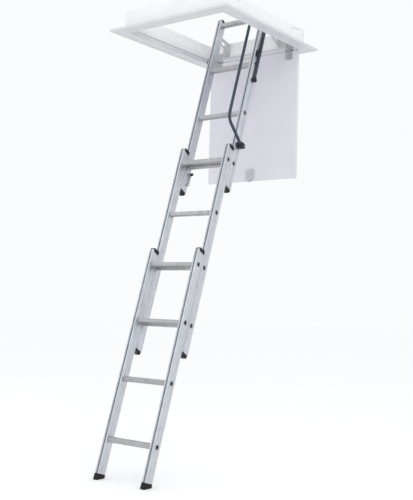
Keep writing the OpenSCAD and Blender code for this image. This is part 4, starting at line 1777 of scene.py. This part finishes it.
@dataclass
class Fittings:
    """Bosses, stops, handrail and catches on the top section."""

    tube: NodeTool
    scatter: NodeTool
    slant: float = 80 * MM
    bend: float = 60 * MM
    rail_end: float = -16 * MM
    bolt_head_r: float = 5.5 * MM
    knob_l: float = 12 * MM

    def build(self) -> None:
        """Build every fitting."""
        self.bosses()
        self.stops()
        self.handrail()
        self.rail_brackets()
        self.rail_bolts()
        self.catches()

    def bosses(self) -> None:
        """Turned pivot bosses: washer, pin and a dished cap."""
        box = right_extent("arm_bosses")
        arm = extent("swing_arm_right", LADDER)
        centre = (0, box.centre.y, box.centre.z)
        cap_r, pin_r, washer_r = box.size.y / 2, 6 * MM, 10 * MM
        start, stop = arm.high.x + 0.3 * MM, box.high.x
        form = Form(LADDER).turned(
            [(box.low.x, 0), (box.low.x, washer_r), (arm.low.x - 0.3 * MM, washer_r),
             (arm.low.x - 0.3 * MM, pin_r),
             (start, pin_r), (start, cap_r - 0.8 * MM), (start + 0.8 * MM, cap_r), (stop - 1.6 * MM, cap_r),
             (stop - 0.5 * MM, cap_r - 0.9 * MM), (stop, cap_r - 2.4 * MM), (stop, 8 * MM),
             (stop - 1.2 * MM, 7 * MM), (stop - 1.2 * MM, 4 * MM), (stop, 3.4 * MM),
             (stop + 0.4 * MM, 2 * MM),
             (stop + 0.4 * MM, 0)], centre)
        publish(form.both_sides(), "pivot_bosses", BLACK_PLASTIC, "arm_bosses")

    def stops(self) -> None:
        """Stop blocks with a screw recess each, in front of the arms."""
        box = right_extent("arm_stops")
        outline = rounded(rectangle((box.low.y, box.low.z), (box.high.y, box.high.z)), 4 * MM, 5)
        form = Form(LADDER).prism([outline], box.low.x, box.high.x, Axis.X)
        piece = form.both_sides().object("stop_blocks")
        recess = Form(LADDER).turned(
            [(box.high.x - 1.6 * MM, 0), (box.high.x - 1.6 * MM, 4.6 * MM), (box.high.x + 1 * MM, 4.6 * MM),
             (box.high.x + 1 * MM, 0)], (0, box.centre.y, box.centre.z), sides=24)
        combined(piece, recess.both_sides())
        bevelled(piece, 0.9 * MM, 3)
        dress(piece, BLACK_PLASTIC, "arm_stops")

    def rail_ends(self) -> tuple[Extent, Extent]:
        """Extents of the handrail's lower and upper brackets.

        Returns:
            The lower and the upper extent.
        """
        middle = extent("handrail", LADDER).centre.z
        return (extent("handrail_brackets", LADDER, high=(FAR_AWAY, FAR_AWAY, middle)),
                extent("handrail_brackets", LADDER, low=(-FAR_AWAY, -FAR_AWAY, middle)))

    def handrail(self) -> None:
        """Bent steel tube between its two brackets."""
        box = extent("handrail", LADDER)
        low, high = (part.centre for part in self.rail_ends())
        radius = box.size.x / 2
        x, front, end = box.centre.x, box.low.y + radius, self.rail_end
        path = [(x, end, low.z), (x, front, low.z + self.slant), (x, front, high.z - self.slant),
                (x, end, high.z)]
        piece = lines("handrail_tube", [path], LADDER)
        self.tube.run(piece, Radius=radius, Bend=self.bend, Sides=36, Material=NAVY_COAT.material())
        dress(piece, NAVY_COAT, "handrail")

    def rail_brackets(self) -> None:
        """Moulded brackets with a rounded nose round the tube's ends."""
        form = Form(LADDER)
        for box, lift in zip(self.rail_ends(), (1, -1)):
            front, back = box.low.y, box.high.y
            bottom, top = (box.low.z, box.high.z) if lift > 0 else (box.high.z, box.low.z)
            outline = [(back, bottom), (front + 6 * MM, bottom), (front, bottom + lift * 7 * MM),
                       (front, top),
                       (front + 15 * MM, top), (back, top - lift * 4 * MM)]
            form.prism([rounded(outline, 4 * MM, 5)], box.low.x, box.high.x, Axis.X)
        publish(form, "rail_bracket_mouldings", BLACK_PLASTIC, "handrail_brackets", 1.6 * MM, 4)

    def rail_bolts(self) -> None:
        """Socket-head bolts through the brackets."""
        box = extent("handrail_bolts", LADDER)
        face = box.high.x
        form = Form(LADDER)
        for t in (box.low.z + self.bolt_head_r, box.high.z - self.bolt_head_r):
            y = box.centre.y
            form.turned([(box.low.x, 0), (box.low.x, 3 * MM), (face - 2 * MM, 3 * MM),
                         (face - 2 * MM, self.bolt_head_r), (face - 0.4 * MM, self.bolt_head_r),
                         (face + 0.3 * MM, 4.8 * MM), (face + 0.3 * MM, 2.9 * MM),
                         (face - 1.4 * MM, 2.6 * MM), (face - 1.4 * MM, 0)], (0, y, t), sides=24)
        publish(form, "rail_bolt_heads", ZINC, "handrail_bolts")

    def catches(self) -> None:
        """Levers that hang beside the top section, on pins with a finger knob."""
        box = extent("catch_right", LADDER)
        pivot = LADDER.inverted() @ Vector(JOINTS["right_catch_swing"]["pos_m"])
        half, length = 6 * MM, pivot.z - box.low.z
        lever = [(-half, 0), (2 * MM - half, 18 * MM - length), (-half - 4 * MM, 14 * MM - length),
                 (-half - 4 * MM, 4 * MM - length), (half - 5 * MM, -length), (half, 4 * MM - length),
                 (half, 0)]
        eye = arc(half + 1 * MM, (0.0, 0.0), 0, 180, 12)
        outline = eye + rounded(lever[:-1], [0.5 * MM, 4 * MM, 2 * MM, 2 * MM, 3 * MM, 3 * MM], 4)
        for side in Side:
            placed = [[(pivot.y + y, pivot.z + t) for y, t in loop]
                      for loop in (outline, circle(3.1 * MM, sides=24))]
            form = Form(LADDER).prism(placed, box.low.x, box.high.x, Axis.X).to_side(side)
            publish(form, f"catch_lever_{side.word}", ZINC, f"catch_{side.word}", 0.6 * MM)
        pin = right_extent("catch_pins")
        face, knob_r = pin.low.x + self.knob_l, pin.size.y / 2
        form = Form(LADDER).turned(
            [(pin.low.x, 0), (pin.low.x, 4.5 * MM), (pin.low.x + 0.6 * MM, knob_r - 1.4 * MM),
             (pin.low.x + 2 * MM, knob_r), (face - 3 * MM, knob_r), (face, knob_r - 2.5 * MM), (face, 3 * MM),
             (pin.high.x, 3 * MM), (pin.high.x, 0)], (0, pivot.y, pivot.z), sides=28)
        publish(form.both_sides(), "catch_knobs", BLACK_PLASTIC, "catch_pins")


# ---- kept CAD nodes, floor, light and camera ----


def dress_kept_nodes(kept: dict[str, Finish]) -> None:
    """Give a finish to each CAD node that is shown as it is.

    Args:
        kept: Each node's finish, by the node's name.
    """
    for name, finish in kept.items():
        node = frame["nodes"][name]
        node.data.materials.clear()
        node.data.materials.append(finish.material())
        LOG.info("%s keeps its shape", name)


@dataclass
class Studio:
    """Pale floor, soft light and the camera."""

    camera_place: Triple = (2.685, -3.6125, -1.394)
    yaw: float = 36.92
    pitch: float = 3.19
    roll: float = 1.54
    lens: float = 60.74
    floor_size: float = 40.0
    lamp_target: Triple = (0.0, -0.2, -0.9)

    def build(self) -> None:
        """Set the floor, the world, the lamps and the camera."""
        self.floor()
        self.world()
        self.lamp("key", (3.6, -3.2, 1.6), 2.6, 45, (1.0, 0.99, 0.97))
        self.lamp("fill", (-3.4, -2.6, 0.2), 3.0, 12, (0.93, 0.96, 1.0))
        self.camera()

    def floor(self) -> None:
        """Floor at the feet."""
        half, z = self.floor_size / 2, CAD_BOX[0].z
        mesh = bpy.data.meshes.new("floor")
        mesh.from_pydata([(x, y, z) for x, y in rectangle((-half, -half), (half, half))], [], [(0, 1, 2, 3)])
        floor = bpy.data.objects.new("floor", mesh)
        bpy.context.scene.collection.objects.link(floor)
        finish = PaintedBoard("floor_paint", (0.995, 0.995, 0.995), (0.985, 0.985, 0.985), 0.9, 6 * MM)
        mesh.materials.append(finish.material())

    def world(self) -> None:
        """Even, nearly white surroundings."""
        scene = bpy.context.scene
        scene.view_settings.view_transform = "Standard"
        world = bpy.data.worlds.new("surroundings")
        world.use_nodes = True
        background = next(n for n in world.node_tree.nodes if n.type == "BACKGROUND")
        background.inputs["Color"].default_value = (0.985, 0.99, 1.0, 1.0)
        background.inputs["Strength"].default_value = 0.98
        scene.world = world

    def lamp(self, name: str, place: Triple, size: float, power: float, colour: Colour) -> None:
        """Add a square soft lamp that points at the ladder's middle.

        Args:
            name: Name of the lamp.
            place: Where it stands.
            size: Side of its square.
            power: Power in watts.
            colour: Its colour.
        """
        light = bpy.data.lights.new(name, "AREA")
        light.size = size
        light.energy = power
        light.color = colour
        lamp = bpy.data.objects.new(name, light)
        lamp.location = place
        lamp.rotation_euler = (Vector(self.lamp_target) - Vector(place)).to_track_quat("-Z", "Y").to_euler()
        bpy.context.scene.collection.objects.link(lamp)

    def camera(self) -> None:
        """Camera in front of the ladder, to its right, a little below its middle."""
        yaw, pitch, roll = (math.radians(a) for a in (self.yaw, self.pitch, self.roll))
        ahead = Vector((-math.sin(yaw) * math.cos(pitch), math.cos(yaw) * math.cos(pitch), math.sin(pitch)))
        level = Vector((math.cos(yaw), math.sin(yaw), 0))
        upright = level.cross(ahead)
        right = math.cos(roll) * level + math.sin(roll) * upright
        up = math.cos(roll) * upright - math.sin(roll) * level
        turn = Matrix((right, up, -ahead)).transposed().to_4x4()
        data = bpy.data.cameras.new("camera")
        data.lens = self.lens
        data.sensor_width = 36.0
        camera = bpy.data.objects.new("camera", data)
        camera.matrix_world = Matrix.Translation(self.camera_place) @ turn
        bpy.context.scene.collection.objects.link(camera)
        bpy.context.scene.camera = camera


def main() -> None:
    """Build the ladder and its studio in order."""
    logging.basicConfig(level=logging.INFO, format="%(message)s")
    Studio().build()
    tube, scatter, teeth = tube_tool(), scatter_tool(), teeth_tool()
    Hatch(scatter, tube).build()
    Door(scatter, tube).build()
    SwingArms().build()
    post = extent("top_stile_right", LADDER)
    rung_mesh = Rung().mesh(post.low.x, post.high.x, teeth)
    Section("top", rung_mesh, "top_end_caps", "top_guide_shoes").build()
    Section("middle", rung_mesh, "middle_head_shoes", "middle_tail_shoes").build()
    Section("bottom", rung_mesh, "bottom_head_shoes", None).build()
    Feet().build()
    Fittings(tube, scatter).build()
    dress_kept_nodes({"top_slide_stops": ZINC, "middle_slide_stops": ZINC})


if __name__ == "__main__":
    main()
